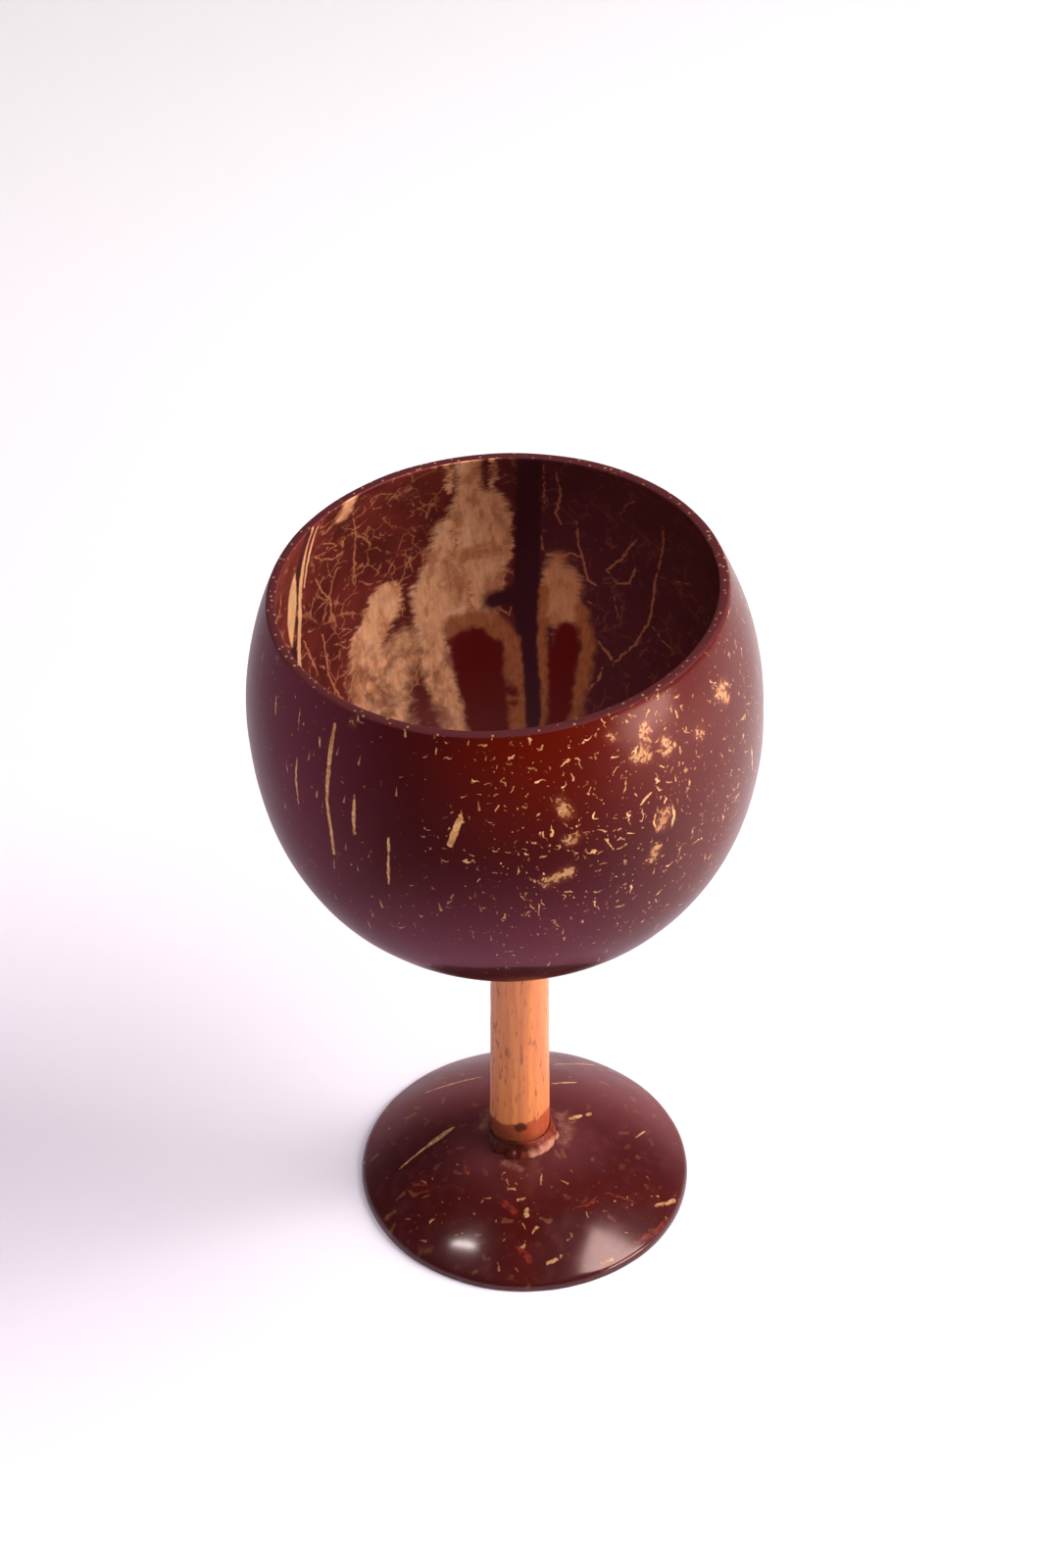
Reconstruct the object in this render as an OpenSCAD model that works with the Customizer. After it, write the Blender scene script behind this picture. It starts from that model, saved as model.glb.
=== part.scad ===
// Stemmed cup made from two pieces of polished coconut shell and a wooden dowel.
// The origin is the centre of the foot's flat ring, on the surface that the cup stands on.
// +Z is up, and the bowl leans towards -X. All sizes are in millimetres.

/* [Bowl] */
// Outer diameter at the widest ring
bowl_d = 100; // [80:1:125]
// Depth of the outside below the widest ring
bowl_depth = 53.2; // [40:0.2:70]
// Height of the mouth above the widest ring
mouth_rise = 28.2; // [15:0.2:36]
// Radius of the side's arc above the widest ring, in section
side_r = 66; // [55:1:90]
// Fullness of the curve below the widest ring: 2 is an ellipse, more is squarer
fullness = 2.28; // [2:0.02:2.8]
// Thickness of the shell
bowl_wall = 2.1; // [1.5:0.1:4]
// Bevel on the two edges of the mouth
lip_ease = 0.3; // [0.1:0.1:0.6]
// Lean of the bowl on its stem, in degrees
bowl_lean = 3; // [0:0.1:6]

/* [Stem] */
// Diameter at the bowl
stem_d_top = 12; // [10:0.5:16]
// Diameter at the foot
stem_d_foot = 13; // [10:0.5:16]
// Length between the two shoulders
stem_len = 63.8; // [45:0.2:90]
// Distance of the stem's axis from the foot's centre, towards -X
stem_offset = 1.1; // [0:0.1:3]

/* [Tenons] */
// Diameter of the tenon at each end of the stem
tenon_d = 7; // [5:0.5:8]
// Clearance between a tenon and its hole, on the radius
tenon_fit = 0.1; // [0.05:0.05:0.3]
// How far each tenon stands past the inner face of the shell
tenon_proud = 0.8; // [0.4:0.1:1.5]

/* [Foot] */
// Outer diameter
foot_d = 70.6; // [60:0.2:90]
// Height of the dome
foot_h = 12.5; // [10:0.5:18]
// Thickness of the shell
foot_wall = 2.6; // [1.8:0.1:3.2]
// Radius of the rounded edge
foot_edge_r = 2; // [1:0.1:4]
// Height of the upright band under the rounded edge
foot_band = 0.6; // [0.4:0.1:2]

/* [Glue] */
// Thickness of the glue film at each shoulder of the stem
film = 0.4; // [0.2:0.1:1]
// How far the bead at the bowl spreads from the stem
bowl_bead_out = 2.5; // [1.5:0.1:4]
// How far the bead at the foot spreads from the stem
foot_bead_out = 3; // [1.5:0.1:4]
// How far the bead at the foot climbs the stem
foot_bead_up = 2.6; // [1.5:0.1:5]
// Number of lumps in the bead at the foot
lump_count = 5; // [3:1:8]
// Diameter of a lump
lump_d = 4.8; // [3:0.1:6]
// Diameter of the seal inside the bowl
seal_d = 18; // [14:0.5:24]
// Cover of the seal over the end of the tenon
seal_cover = 0.8; // [0.4:0.1:1.5]
// Diameter of the pad under the foot
pad_d = 16; // [12:0.5:20]
// Cover of the pad over the end of the tenon
pad_cover = 0.8; // [0.4:0.1:1.5]

/* [Hidden] */
$fn = 360;

// Colours of the shell, the wood and the glue
shell_dark = "#4a1a1c";
shell_foot = "#552222";
wood_tan = "#c88452";
glue_red = "#6a2412";

// Largest turn between two points of an arc, in degrees
arc_step = 2.5;

// Reach of a cut past what it cuts
past = 1;

// Smallest rounding inside the foot's edge
least_edge_r = 0.3;

// Heights of the stem's two shoulders and of the bowl's lowest point
stem_foot_z = foot_h + film;
stem_top_z = stem_foot_z + stem_len;
bowl_base_z = stem_top_z + film;
tenon_r = tenon_d / 2;
hole_r = tenon_r + tenon_fit;

// Centre of the side's arc in section, with heights from the widest ring
side_c = [bowl_d / 2 - side_r, 0];

// Heights of the tenon's two ends. The bowl's inner face lies bowl_wall above its lowest point.
tenon_top_z = bowl_base_z + bowl_wall + tenon_proud;
tenon_foot_z = foot_h - foot_wall - tenon_proud;

// Direction from one point to another, in degrees
function direction(from, to) = atan2(to[1] - from[1], to[0] - from[0]);

// Points on an arc about c, between two directions
function arc(c, radius, from, to) =
    let (steps = ceil(abs(to - from) / arc_step))
    [for (i = [0 : steps]) let (a = from + (to - from) * i / steps) c + radius * [cos(a), sin(a)]];

// An arc's points without its first, to follow another arc that ends there
function arc_on(c, radius, from, to) =
    let (points = arc(c, radius, from, to))
    [for (i = [1 : len(points) - 1]) points[i]];

function backwards(points) = [for (i = [len(points) - 1 : -1 : 0]) points[i]];

// A point on the bowl's curve below the widest ring, drawn in square to the curve by inset.
// The turn t is 90 degrees at the lowest point and 0 at the widest ring.
function bowl_low_point(t, inset) =
    let (across = cos(t) ^ (2 / fullness))
    let (down = sin(t) ^ (2 / fullness))
    let (out = [2 * across ^ (fullness - 1) / bowl_d, -down ^ (fullness - 1) / bowl_depth])
    [across * bowl_d / 2, -down * bowl_depth] - inset * out / norm(out);

// Line of the bowl's outside, drawn in by inset, from its lowest point to the widest ring
function bowl_low_line(inset) = [for (t = [90 : -arc_step : 0]) bowl_low_point(t, inset)];

// The same line, carried on up the side to the height top
function bowl_line(inset, top) = concat(
    bowl_low_line(inset),
    arc_on(side_c, side_r - inset, 0, asin(top / (side_r - inset)))
);

// Radius at the height top, with the line drawn in by inset
function bowl_r_at(inset, top) = side_c[0] + sqrt((side_r - inset) ^ 2 - top ^ 2);

// Line of the foot's outside, drawn in by inset, from the ground to its highest point:
// an upright band, a rounded edge and a wide cap that the edge circle touches from the inside
function foot_line(inset) =
    let (edge_r = max(foot_edge_r - inset, least_edge_r))
    let (edge_c = [foot_d / 2 - inset - edge_r, foot_band])
    let (fall = foot_band - foot_h + inset)
    let (cap_r = (edge_r ^ 2 - edge_c[0] ^ 2 - fall ^ 2) / (2 * (fall + edge_r)))
    let (cap_c = [0, foot_h - inset - cap_r])
    concat(
        [[foot_d / 2 - inset, 0]],
        arc(edge_c, edge_r, 0, direction(cap_c, edge_c)),
        arc_on(cap_c, cap_r, direction(cap_c, edge_c), 90)
    );

// The radius of a sphere whose cap has this half-width and height
function cap_radius(half_width, height) = (half_width ^ 2 + height ^ 2) / (2 * height);

// How far the bowl's curve has risen at this distance from its lowest point
function bowl_climb(distance) =
    bowl_depth * (1 - (1 - (2 * distance / bowl_d) ^ fullness) ^ (1 / fullness));

// Stands a shape on the stem, leaning, with the widest ring's height as its own zero
module on_stem() {
    translate([-stem_offset, 0, bowl_base_z])
        rotate([0, -bowl_lean, 0])
            translate([0, 0, bowl_depth])
                children();
}

// The space inside the bowl's line, as far up as its widest ring
module bowl_solid(inset) {
    rotate_extrude() polygon(concat(bowl_low_line(inset), [[0, 0]]));
}

module foot_solid(inset) {
    rotate_extrude() polygon(concat(foot_line(inset), [[0, 0]]));
}

module stem_solid() {
    translate([-stem_offset, 0, 0])
        rotate_extrude()
            polygon([
                [0, tenon_foot_z],
                [tenon_r, tenon_foot_z],
                [tenon_r, stem_foot_z],
                [stem_d_foot / 2, stem_foot_z],
                [stem_d_top / 2, stem_top_z],
                [tenon_r, stem_top_z],
                [tenon_r, tenon_top_z],
                [0, tenon_top_z],
            ]);
}

module bowl() {
    color(shell_dark)
        difference() {
            on_stem()
                rotate_extrude()
                    polygon(concat(
                        bowl_line(0, mouth_rise - lip_ease),
                        [[bowl_r_at(0, mouth_rise) - lip_ease, mouth_rise]],
                        [[bowl_r_at(bowl_wall, mouth_rise) + lip_ease, mouth_rise]],
                        backwards(bowl_line(bowl_wall, mouth_rise - lip_ease))
                    ));
            translate([-stem_offset, 0, stem_top_z]) cylinder(h = bowl_depth, r = hole_r);
        }
}

module stem() {
    color(wood_tan) stem_solid();
}

module foot() {
    color(shell_foot)
        difference() {
            rotate_extrude() polygon(concat(foot_line(0), backwards(foot_line(foot_wall))));
            translate([-stem_offset, 0, 0]) cylinder(h = foot_h + past, r = hole_r);
        }
}

// The film over the stem's top shoulder and the fillet under the bowl: a cone that runs on up into the bowl
module bowl_glue_bead() {
    stem_r = stem_d_top / 2;
    color(glue_red)
        difference() {
            translate([-stem_offset, 0, stem_top_z - bowl_bead_out])
                cylinder(h = 2 * bowl_bead_out, r1 = stem_r, r2 = stem_r + 2 * bowl_bead_out);
            on_stem() bowl_solid(0);
            stem_solid();
            translate([-stem_offset, 0, stem_top_z - past]) cylinder(h = bowl_depth, r = hole_r);
        }
}

// The lumpy ring between the stem and the foot: a cone that runs on down until it is inside the foot
module foot_glue_bead() {
    stem_r = stem_d_foot / 2;
    drop = foot_bead_up + film;
    color(glue_red)
        difference() {
            translate([-stem_offset, 0, foot_h]) {
                translate([0, 0, -drop])
                    cylinder(h = 2 * drop, r1 = stem_r + 2 * foot_bead_out, r2 = stem_r);
                for (i = [0 : lump_count - 1])
                    rotate(360 * i / lump_count)
                        translate([stem_r + foot_bead_out / 2, 0, 0])
                            sphere(d = lump_d);
            }
            foot_solid(0);
            stem_solid();
        }
}

// The lens over the end of the upper tenon
module tenon_seal() {
    lens_h = tenon_proud + seal_cover;
    lens_r = cap_radius(seal_d / 2, lens_h - bowl_climb(seal_d / 2));
    color(glue_red)
        difference() {
            on_stem()
                intersection() {
                    bowl_solid(bowl_wall);
                    translate([0, 0, bowl_wall + lens_h - bowl_depth - lens_r]) sphere(lens_r);
                }
            stem_solid();
        }
}

// The pad around the end of the lower tenon
module tenon_glue_pad() {
    pad_h = tenon_proud + pad_cover;
    color(glue_red)
        difference() {
            intersection() {
                foot_solid(foot_wall);
                translate([-stem_offset, 0, foot_h - foot_wall - pad_h + cap_radius(pad_d / 2, pad_h)])
                    sphere(cap_radius(pad_d / 2, pad_h));
            }
            stem_solid();
        }
}

bowl();
stem();
foot();
bowl_glue_bead();
foot_glue_bead();
tenon_seal();
tenon_glue_pad();
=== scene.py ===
"""Coconut-shell goblet: a polished bowl and foot, a wooden stem, and the glue between them."""

import math

import bpy
from bpy.props import FloatProperty, FloatVectorProperty, IntProperty, PointerProperty
from mathutils import Matrix, Vector


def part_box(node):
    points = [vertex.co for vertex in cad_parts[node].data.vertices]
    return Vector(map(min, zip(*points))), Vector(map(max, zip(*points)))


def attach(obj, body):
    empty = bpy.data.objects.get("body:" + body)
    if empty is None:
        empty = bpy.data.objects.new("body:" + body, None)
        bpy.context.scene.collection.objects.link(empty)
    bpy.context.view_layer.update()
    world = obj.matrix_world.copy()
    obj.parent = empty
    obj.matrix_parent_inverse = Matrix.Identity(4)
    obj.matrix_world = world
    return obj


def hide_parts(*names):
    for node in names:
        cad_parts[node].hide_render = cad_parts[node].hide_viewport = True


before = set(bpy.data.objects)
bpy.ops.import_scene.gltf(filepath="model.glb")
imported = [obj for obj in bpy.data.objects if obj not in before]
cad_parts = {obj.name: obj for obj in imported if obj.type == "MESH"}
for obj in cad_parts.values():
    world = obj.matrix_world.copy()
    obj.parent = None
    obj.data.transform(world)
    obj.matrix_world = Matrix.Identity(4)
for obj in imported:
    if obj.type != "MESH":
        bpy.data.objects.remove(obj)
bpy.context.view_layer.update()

bl_info = {
    "name": "Coconut-shell goblet",
    "version": (1, 0, 0),
    "blender": (4, 5, 0),
    "location": "3D View > Sidebar > Goblet",
    "description": "Builds a stemmed cup of polished coconut shell on a packed frame",
    "category": "Add Mesh",
}

MM = 0.001

# Points nearer than this are merged, edges flatter than this look smooth, and pieces are smoothed so often
MERGED = 0.002 * MM
SMOOTH_ANGLE = math.radians(40)
SMOOTHINGS = 2

# The least rounding of the foot's edge, on its inner side
LEAST_ROUND = 0.3 * MM

# How strongly the clear lacquer bends light
COAT_IOR = 1.45

# The middle of coloured noise, which runs from 0 to 1
HALF = (0.5, 0.5, 0.5)

# Where the frame's own pieces are
bowl_low, bowl_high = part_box("bowl")
stem_low, stem_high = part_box("stem")
foot_low, foot_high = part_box("foot")


def length(name, description, default):
    """A size in metres that a user can change."""
    return FloatProperty(name=name, description=description, default=default, unit="LENGTH", precision=4)


def colour(name, description, default):
    """A colour that a user can change."""
    return FloatVectorProperty(name=name, description=description, default=default, size=3, subtype="COLOR",
                               min=0, max=1)


class GobletSizes(bpy.types.PropertyGroup):
    """Sizes of the goblet's pieces."""

    bowl_d: length("Bowl diameter", "Across the widest ring, outside", bowl_high.y - bowl_low.y)
    bowl_depth: length("Bowl depth", "From the widest ring down to the lowest point, outside", 53.2 * MM)
    mouth_rise: length("Mouth rise", "From the widest ring up to the mouth", 28.2 * MM)
    side_r: length("Side radius", "Radius of the side above the widest ring, in section", 66 * MM)
    bowl_fullness: FloatProperty(name="Bowl fullness", description="2 is an ellipse, more is squarer",
                                 default=2.28)
    bowl_wall: length("Bowl wall", "Thickness of the bowl's shell", 2.1 * MM)
    lip_round: length("Lip rounding", "Rounding of the mouth's two edges", 0.55 * MM)
    bowl_lean: FloatProperty(name="Bowl lean", description="How far the bowl leans on its stem",
                             default=math.radians(3), subtype="ANGLE")
    bowl_base: length("Bowl base", "Height of the bowl's lowest point above the ground", 77.1 * MM)
    stem_x: length("Stem place", "Place of the stem's axis along X", (stem_low.x + stem_high.x) / 2)
    stem_d_foot: length("Stem at the foot", "Diameter of the stem at the foot", stem_high.x - stem_low.x)
    stem_d_top: length("Stem at the bowl", "Diameter of the stem at the bowl", 12 * MM)
    stem_foot_z: length("Lower shoulder", "Height of the stem's lower shoulder", 12.9 * MM)
    stem_top_z: length("Upper shoulder", "Height of the stem's upper shoulder", 76.7 * MM)
    tenon_r: length("Tenon radius", "Radius of the tenons at the stem's ends", 3.5 * MM)
    bore_r: length("Bore radius", "Radius of the holes that take the tenons", 3.6 * MM)
    foot_d: length("Foot diameter", "Across the foot", foot_high.x - foot_low.x)
    foot_h: length("Foot height", "Height of the foot's dome", 12.5 * MM)
    foot_wall: length("Foot wall", "Thickness of the foot's shell", 2.6 * MM)
    foot_edge_r: length("Foot edge", "Rounding of the foot's edge", 2 * MM)
    foot_band: length("Foot band", "Height of the upright band at the ground", 0.6 * MM)
    swell: length("Unevenness", "How far a hand-polished shell dips from a true turning", 0.22 * MM)
    steps: IntProperty(name="Steps", description="Steps in a full turn, before smoothing", default=72)


class GobletColours(bpy.types.PropertyGroup):
    """Colours of the goblet's shell, wood and glue."""

    shell_dark: colour("Dark shell", "Main colour of the polished shell", (0.040, 0.0036, 0.0046))
    # Painted reflection: the pale room's sheen on the shell's left and underside
    plum_sheen: colour("Plum shell", "Where the polished shell turns purple", (0.110, 0.021, 0.037))
    # Painted reflection of the pale floor on the bowl's underside
    underside_sheen: colour("Low shell", "Where the underside turns paler", (0.075, 0.017, 0.020))
    # The shell's own red, also used for a painted rosy sheen on the bowl's right
    shell_red: colour("Red shell", "Where the lacquered shell glows red", (0.078, 0.0042, 0.0010))
    shell_foot: colour("Foot shell", "Main colour of the foot", (0.044, 0.0066, 0.0072))
    # Painted light round the stem and a painted sheen at the foot's back, also used for random mottling
    foot_plum: colour("Foot round the stem", "Paler purple-brown round the stem", (0.125, 0.029, 0.032))
    lip_brown: colour("Lip", "Sanded edge of the mouth", (0.078, 0.0165, 0.0185))
    fleck_tan: colour("Tan flecks", "Short fibres cut open by the polishing", (0.44, 0.185, 0.064))
    fleck_pale: colour("Pale fibres", "Palest fibres", (0.74, 0.43, 0.19))
    patch_brown: colour("Brown patches", "Darker parts of the larger patches", (0.27, 0.075, 0.035))
    fibre_red: colour("Red fibres", "Red fibres in the foot", (0.30, 0.038, 0.014))
    sheen_rose: colour("Sheen", "Tint of the polish where it faces the viewer", (1.0, 0.66, 0.64))
    inside_red: colour("Inside red", "Main colour of the inside", (0.185, 0.024, 0.020))
    # Painted shade on the inside's right wall
    inside_shade: colour("Inside shade", "Darker parts of the inside", (0.078, 0.016, 0.024))
    husk_tan: colour("Husk", "Patches of tan husk left on the inside", (0.98, 0.47, 0.235))
    husk_pale: colour("Pale husk", "Palest parts of the husk", (1.0, 0.66, 0.42))
    vein_tan: colour("Veins", "Thin veins on the inside", (0.62, 0.22, 0.10))
    border_brown: colour("Borders", "Orange-brown borders of the bare windows", (0.46, 0.135, 0.05))
    ridge_black: colour("Ridge", "Dark seam down the inside", (0.050, 0.010, 0.016))
    window_red: colour("Bare shell", "Bare red shell between the tan borders", (0.125, 0.006, 0.006))
    wood_light: colour("Wood", "Light wood of the stem", (0.70, 0.238, 0.064))
    wood_deep: colour("Wood grain", "Darker grain of the stem", (0.52, 0.155, 0.05))
    wood_pore: colour("Wood pores", "Short dark pores of the stem", (0.24, 0.06, 0.025))
    wood_stain: colour("Wood stain", "Where glue soaked into the stem's end", (0.31, 0.046, 0.016))
    glue_red: colour("Glue", "Red-brown glue", (0.23, 0.030, 0.013))
    # Also used for a painted highlight on the glue's right front
    glue_pale: colour("Glue dust", "Pale shell dust in the glue", (0.55, 0.27, 0.17))
    floor_pale: colour("Floor", "Plain pale floor", (0.875, 0.82, 0.93))
    # Painted light on the floor to the right and the back
    floor_white: colour("Floor far off", "The floor away from the viewer", (0.97, 0.965, 0.985))


class Wire:
    """A value on its way through a node tree. Arithmetic on it adds Math nodes."""

    def __init__(self, tree, socket):
        self.tree = tree
        self.socket = socket

    def node(self, kind, settings=None, sockets=None, out=0):
        """Adds a node: its settings first, then the values or links of its sockets."""
        made = self.tree.nodes.new(kind)
        for key, value in (settings or {}).items():
            setattr(made, key, value)
        for key, value in (sockets or {}).items():
            if isinstance(value, Wire):
                self.tree.links.new(value.socket, made.inputs[key])
            else:
                made.inputs[key].default_value = value
        return Wire(self.tree, made.outputs[out]) if made.outputs else None

    def other(self, out):
        """Another output of the same node."""
        return Wire(self.tree, self.socket.node.outputs[out])

    def math(self, operation, *values):
        return self.node("ShaderNodeMath", {"operation": operation}, dict(enumerate((self,) + values)))

    def vector(self, operation, *values, out=0):
        sockets = dict(enumerate((self,) + values))
        return self.node("ShaderNodeVectorMath", {"operation": operation}, sockets, out)

    def scaled(self, factor):
        """A vector times a number."""
        return self.node("ShaderNodeVectorMath", {"operation": "SCALE"}, {0: self, "Scale": factor})

    def __add__(self, other):
        return self.math("ADD", other)

    __radd__ = __add__

    def __sub__(self, other):
        return self.math("SUBTRACT", other)

    def __rsub__(self, other):
        return self.node("ShaderNodeMath", {"operation": "SUBTRACT"}, {0: other, 1: self})

    def __mul__(self, other):
        return self.math("MULTIPLY", other)

    __rmul__ = __mul__

    def __truediv__(self, other):
        return self.math("DIVIDE", other)

    def __or__(self, other):
        """The larger of two masks."""
        return self.math("MAXIMUM", other)

    __ror__ = __or__

    def fade(self, start, end):
        """0 at start, 1 at end and smooth between."""
        return self.node("ShaderNodeMapRange", {"interpolation_type": "SMOOTHSTEP", "clamp": False},
                         {"Value": self, "From Min": start, "From Max": end})

    def mix(self, one, other):
        """A colour from one to the other, by this mask."""
        return self.node("ShaderNodeMix", {"data_type": "RGBA"}, {0: self, 6: shade(one), 7: shade(other)}, 2)

    def noise(self, size, detail=2.0, roughness=0.5, out=0):
        """Cloudy noise whose lumps are about this many millimetres across. Output 1 is coloured."""
        sockets = {"Vector": self, "Scale": 1 / size, "Detail": detail, "Roughness": roughness}
        return self.node("ShaderNodeTexNoise", {}, sockets, out)

    def warped(self, amount, size, detail=2.0):
        """Places pushed about by noise."""
        push = self.noise(size, detail, out=1).vector("SUBTRACT", HALF)
        return self.vector("ADD", push.scaled(amount))


def shade(value):
    """A colour of three numbers as the four that a socket takes."""
    return value if isinstance(value, Wire) else (*value[:3], 1.0)


def patterned(name):
    """A new material, and its places in millimetres."""
    material = bpy.data.materials.new(name)
    material.use_nodes = True
    tree = material.node_tree
    tree.nodes.clear()
    place = Wire(tree, tree.nodes.new("ShaderNodeTexCoord").outputs["Object"])
    return material, place.scaled(1 / MM)


def surfaced(place, base, roughness, height, depth, **fixed):
    """Ends a material in its shader, with the height as a bump of this depth."""
    bump = place.node("ShaderNodeBump", {}, {"Strength": 1.0, "Distance": depth, "Height": height})
    sockets = {"Base Color": base, "Roughness": roughness, "Normal": bump}
    sockets.update({key.replace("_", " "): shade(value) if hasattr(value, "__len__") else value
                    for key, value in fixed.items()})
    shader = place.node("ShaderNodeBsdfPrincipled", {}, sockets)
    place.node("ShaderNodeOutputMaterial", {}, {"Surface": shader})


def mark_group():
    """A group that masks a line with soft edges and thinned ends, on top of the masks before it."""
    tree = bpy.data.node_groups.new("line_mark", "ShaderNodeTree")
    for name in ("Place", "Start", "Run"):
        tree.interface.new_socket(name, in_out="INPUT", socket_type="NodeSocketVector")
    for name in ("Outer", "Inner", "Thin first", "Thin last", "Body before", "Line before"):
        tree.interface.new_socket(name, in_out="INPUT", socket_type="NodeSocketFloat")
    for name in ("Body", "Line"):
        tree.interface.new_socket(name, in_out="OUTPUT", socket_type="NodeSocketFloat")
    given = Wire(tree, tree.nodes.new("NodeGroupInput").outputs["Place"])
    run = given.other("Run")
    past = given.vector("SUBTRACT", given.other("Start"))
    share = past.vector("DOT_PRODUCT", run, out=1) / run.vector("DOT_PRODUCT", run, out=1)
    along = share.math("MAXIMUM", 0.0).math("MINIMUM", 1.0)
    left = 1 - along
    distance = past.vector("DISTANCE", run.scaled(along), out=1)
    distance = distance + left * left * given.other("Thin first") + along * along * given.other("Thin last")
    body = distance.fade(given.other("Outer"), given.other("Inner")) | given.other("Body before")
    line = distance.fade(given.other("Outer") * 0.42, given.other("Outer") * 0.1) | given.other("Line before")
    given.node("NodeGroupOutput", {}, {"Body": body, "Line": line})
    return tree


def marks(place, lines, outer, inner, thin=0.0, body=0.0, core=0.0):
    """Masks of a line through some points, and of its middle, on top of the masks before it."""
    group = bpy.data.node_groups.get("line_mark") or mark_group()
    last = len(lines) - 2
    for i, (start, end) in enumerate(zip(lines, lines[1:])):
        body = place.node("ShaderNodeGroup", {"node_tree": group}, {
            "Place": place, "Start": start, "Run": end - start, "Outer": outer, "Inner": inner,
            "Thin first": thin if i == 0 else 0.0, "Thin last": thin if i == last else 0.0,
            "Body before": body, "Line before": core,
        })
        core = body.other("Line")
    return body, core


def bands(place, rows, spot):
    """Mask of soft-edged bands: rows of marks with a width and how soft the edge is."""
    body = core = 0.0
    for points, width, soft in rows:
        line = [spot(*point) for point in points]
        body, core = marks(place, line, outer=(width + soft) / 2, inner=(width - soft) / 2,
                           body=body, core=core)
    return body


def fibres(place, rows, spot):
    """Masks of fibres whose ends thin by their taper, and of the darker line along their middles."""
    body = core = 0.0
    for points, width, taper in rows:
        line = [spot(*point) for point in points]
        body, core = marks(place, line, outer=width * 0.56, inner=width * 0.36, thin=width * 0.4 * taper,
                           body=body, core=core)
    return body, core


def flecks(place, facing, cell, longest, width, kept, sway=math.tau):
    """Short flecks with one thicker end, at most one to a cell.

    Kept is the share of cells that have one, and sway is how far they turn from upright."""
    outward, across, up = facing
    colours = place.node("ShaderNodeTexVoronoi", {}, {"Vector": place, "Scale": 1 / cell}, 1)
    local = place.vector("SUBTRACT", colours.other(2))
    chance = colours.node("ShaderNodeSeparateColor", {}, {0: colours})
    deep = local.vector("DOT_PRODUCT", outward, out=1).math("ABSOLUTE").math("LESS_THAN", 0.3 * cell)
    strength = 0.12 + chance.other(1) * chance.other(1) * 1.1
    present = chance.other(2).math("LESS_THAN", kept) * deep * strength
    turn = (chance - 0.5) * sway
    side = local.vector("DOT_PRODUCT", across, out=1)
    rise = local.vector("DOT_PRODUCT", up, out=1)
    cosine = turn.math("COSINE")
    sine = turn.math("SINE")
    run = side * sine + rise * cosine
    off = side * cosine - rise * sine
    beyond = (run.math("ABSOLUTE") - chance.other(1) * longest).math("MAXIMUM", 0.0)
    distance = (off * off + beyond * beyond).math("SQRT") + run * 0.12
    return distance.fade(width, width * 0.4) * present


def veins(place, cell, width, kept):
    """Thin branching lines along the borders of warped cells, present only where kept is high."""
    settings = {"feature": "DISTANCE_TO_EDGE"}
    gap = place.node("ShaderNodeTexVoronoi", settings, {"Vector": place, "Scale": 1 / cell})
    return (gap * cell).fade(width, width * 0.3) * kept


def bowl_turning(sizes):
    """The matrix that stands the bowl on its stem, leaning, with its widest ring at zero."""
    stand = Matrix.Translation((sizes.stem_x, 0, sizes.bowl_base))
    lean = Matrix.Rotation(-sizes.bowl_lean, 4, "Y")
    return stand @ lean @ Matrix.Translation((0, 0, sizes.bowl_depth))


def bowl_below(sizes, turn, inset):
    """A point on the bowl's line below the widest ring; the turn is 90 degrees at the lowest point."""
    across = math.cos(turn) ** (2 / sizes.bowl_fullness)
    down = math.sin(turn) ** (2 / sizes.bowl_fullness)
    power = sizes.bowl_fullness - 1
    out = Vector((2 * across ** power / sizes.bowl_d, -down ** power / sizes.bowl_depth)).normalized()
    return Vector((across * sizes.bowl_d / 2, -down * sizes.bowl_depth)) - inset * out


def bowl_above(sizes, height, inset):
    """A point on the bowl's line above the widest ring."""
    out = math.sqrt((sizes.side_r - inset) ** 2 - height ** 2)
    return Vector((sizes.bowl_d / 2 - sizes.side_r + out, height))


def bowl_line(sizes, inset, low_points, high_points, top):
    """The bowl's line from its bore to the height top."""
    first = math.radians(89.9)
    line = [bowl_below(sizes, first * (1 - i / low_points), inset) for i in range(low_points)]
    line = [point for point in line if point.x > sizes.bore_r]
    line.insert(0, Vector((sizes.bore_r, line[0].y)))
    return line + [bowl_above(sizes, top * i / high_points, inset) for i in range(high_points + 1)]


def shares(count):
    """Even steps from 0 to 1."""
    return [i / count for i in range(count + 1)]


def rounded(centre, radius, start, stop, points):
    """Points of an arc, in degrees."""
    turns = [math.radians(start + (stop - start) * i / points) for i in range(points + 1)]
    return [centre + radius * Vector((math.cos(turn), math.sin(turn))) for turn in turns]


def foot_line(sizes, inset, points):
    """The foot's line from the ground to its highest point: a band, a rounded edge and a wide cap."""
    edge_r = max(sizes.foot_edge_r - inset, LEAST_ROUND)
    edge = Vector((sizes.foot_d / 2 - inset - edge_r, sizes.foot_band))
    fall = sizes.foot_band - sizes.foot_h + inset
    cap_r = (edge_r ** 2 - edge.x ** 2 - fall ** 2) / (2 * (fall + edge_r))
    cap = Vector((0, sizes.foot_h - inset - cap_r))
    lean = math.degrees(math.atan2(edge.y - cap.y, edge.x))
    line = [Vector((sizes.foot_d / 2 - inset, 0))] + rounded(edge, edge_r, 0, lean, points=4)
    return line + rounded(cap, cap_r, lean, 90, points)[1:]


def start_alone():
    """Leaves nothing selected."""
    if bpy.context.object and bpy.context.object.mode != "OBJECT":
        bpy.ops.object.mode_set(mode="OBJECT")
    bpy.ops.object.select_all(action="DESELECT")


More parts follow.
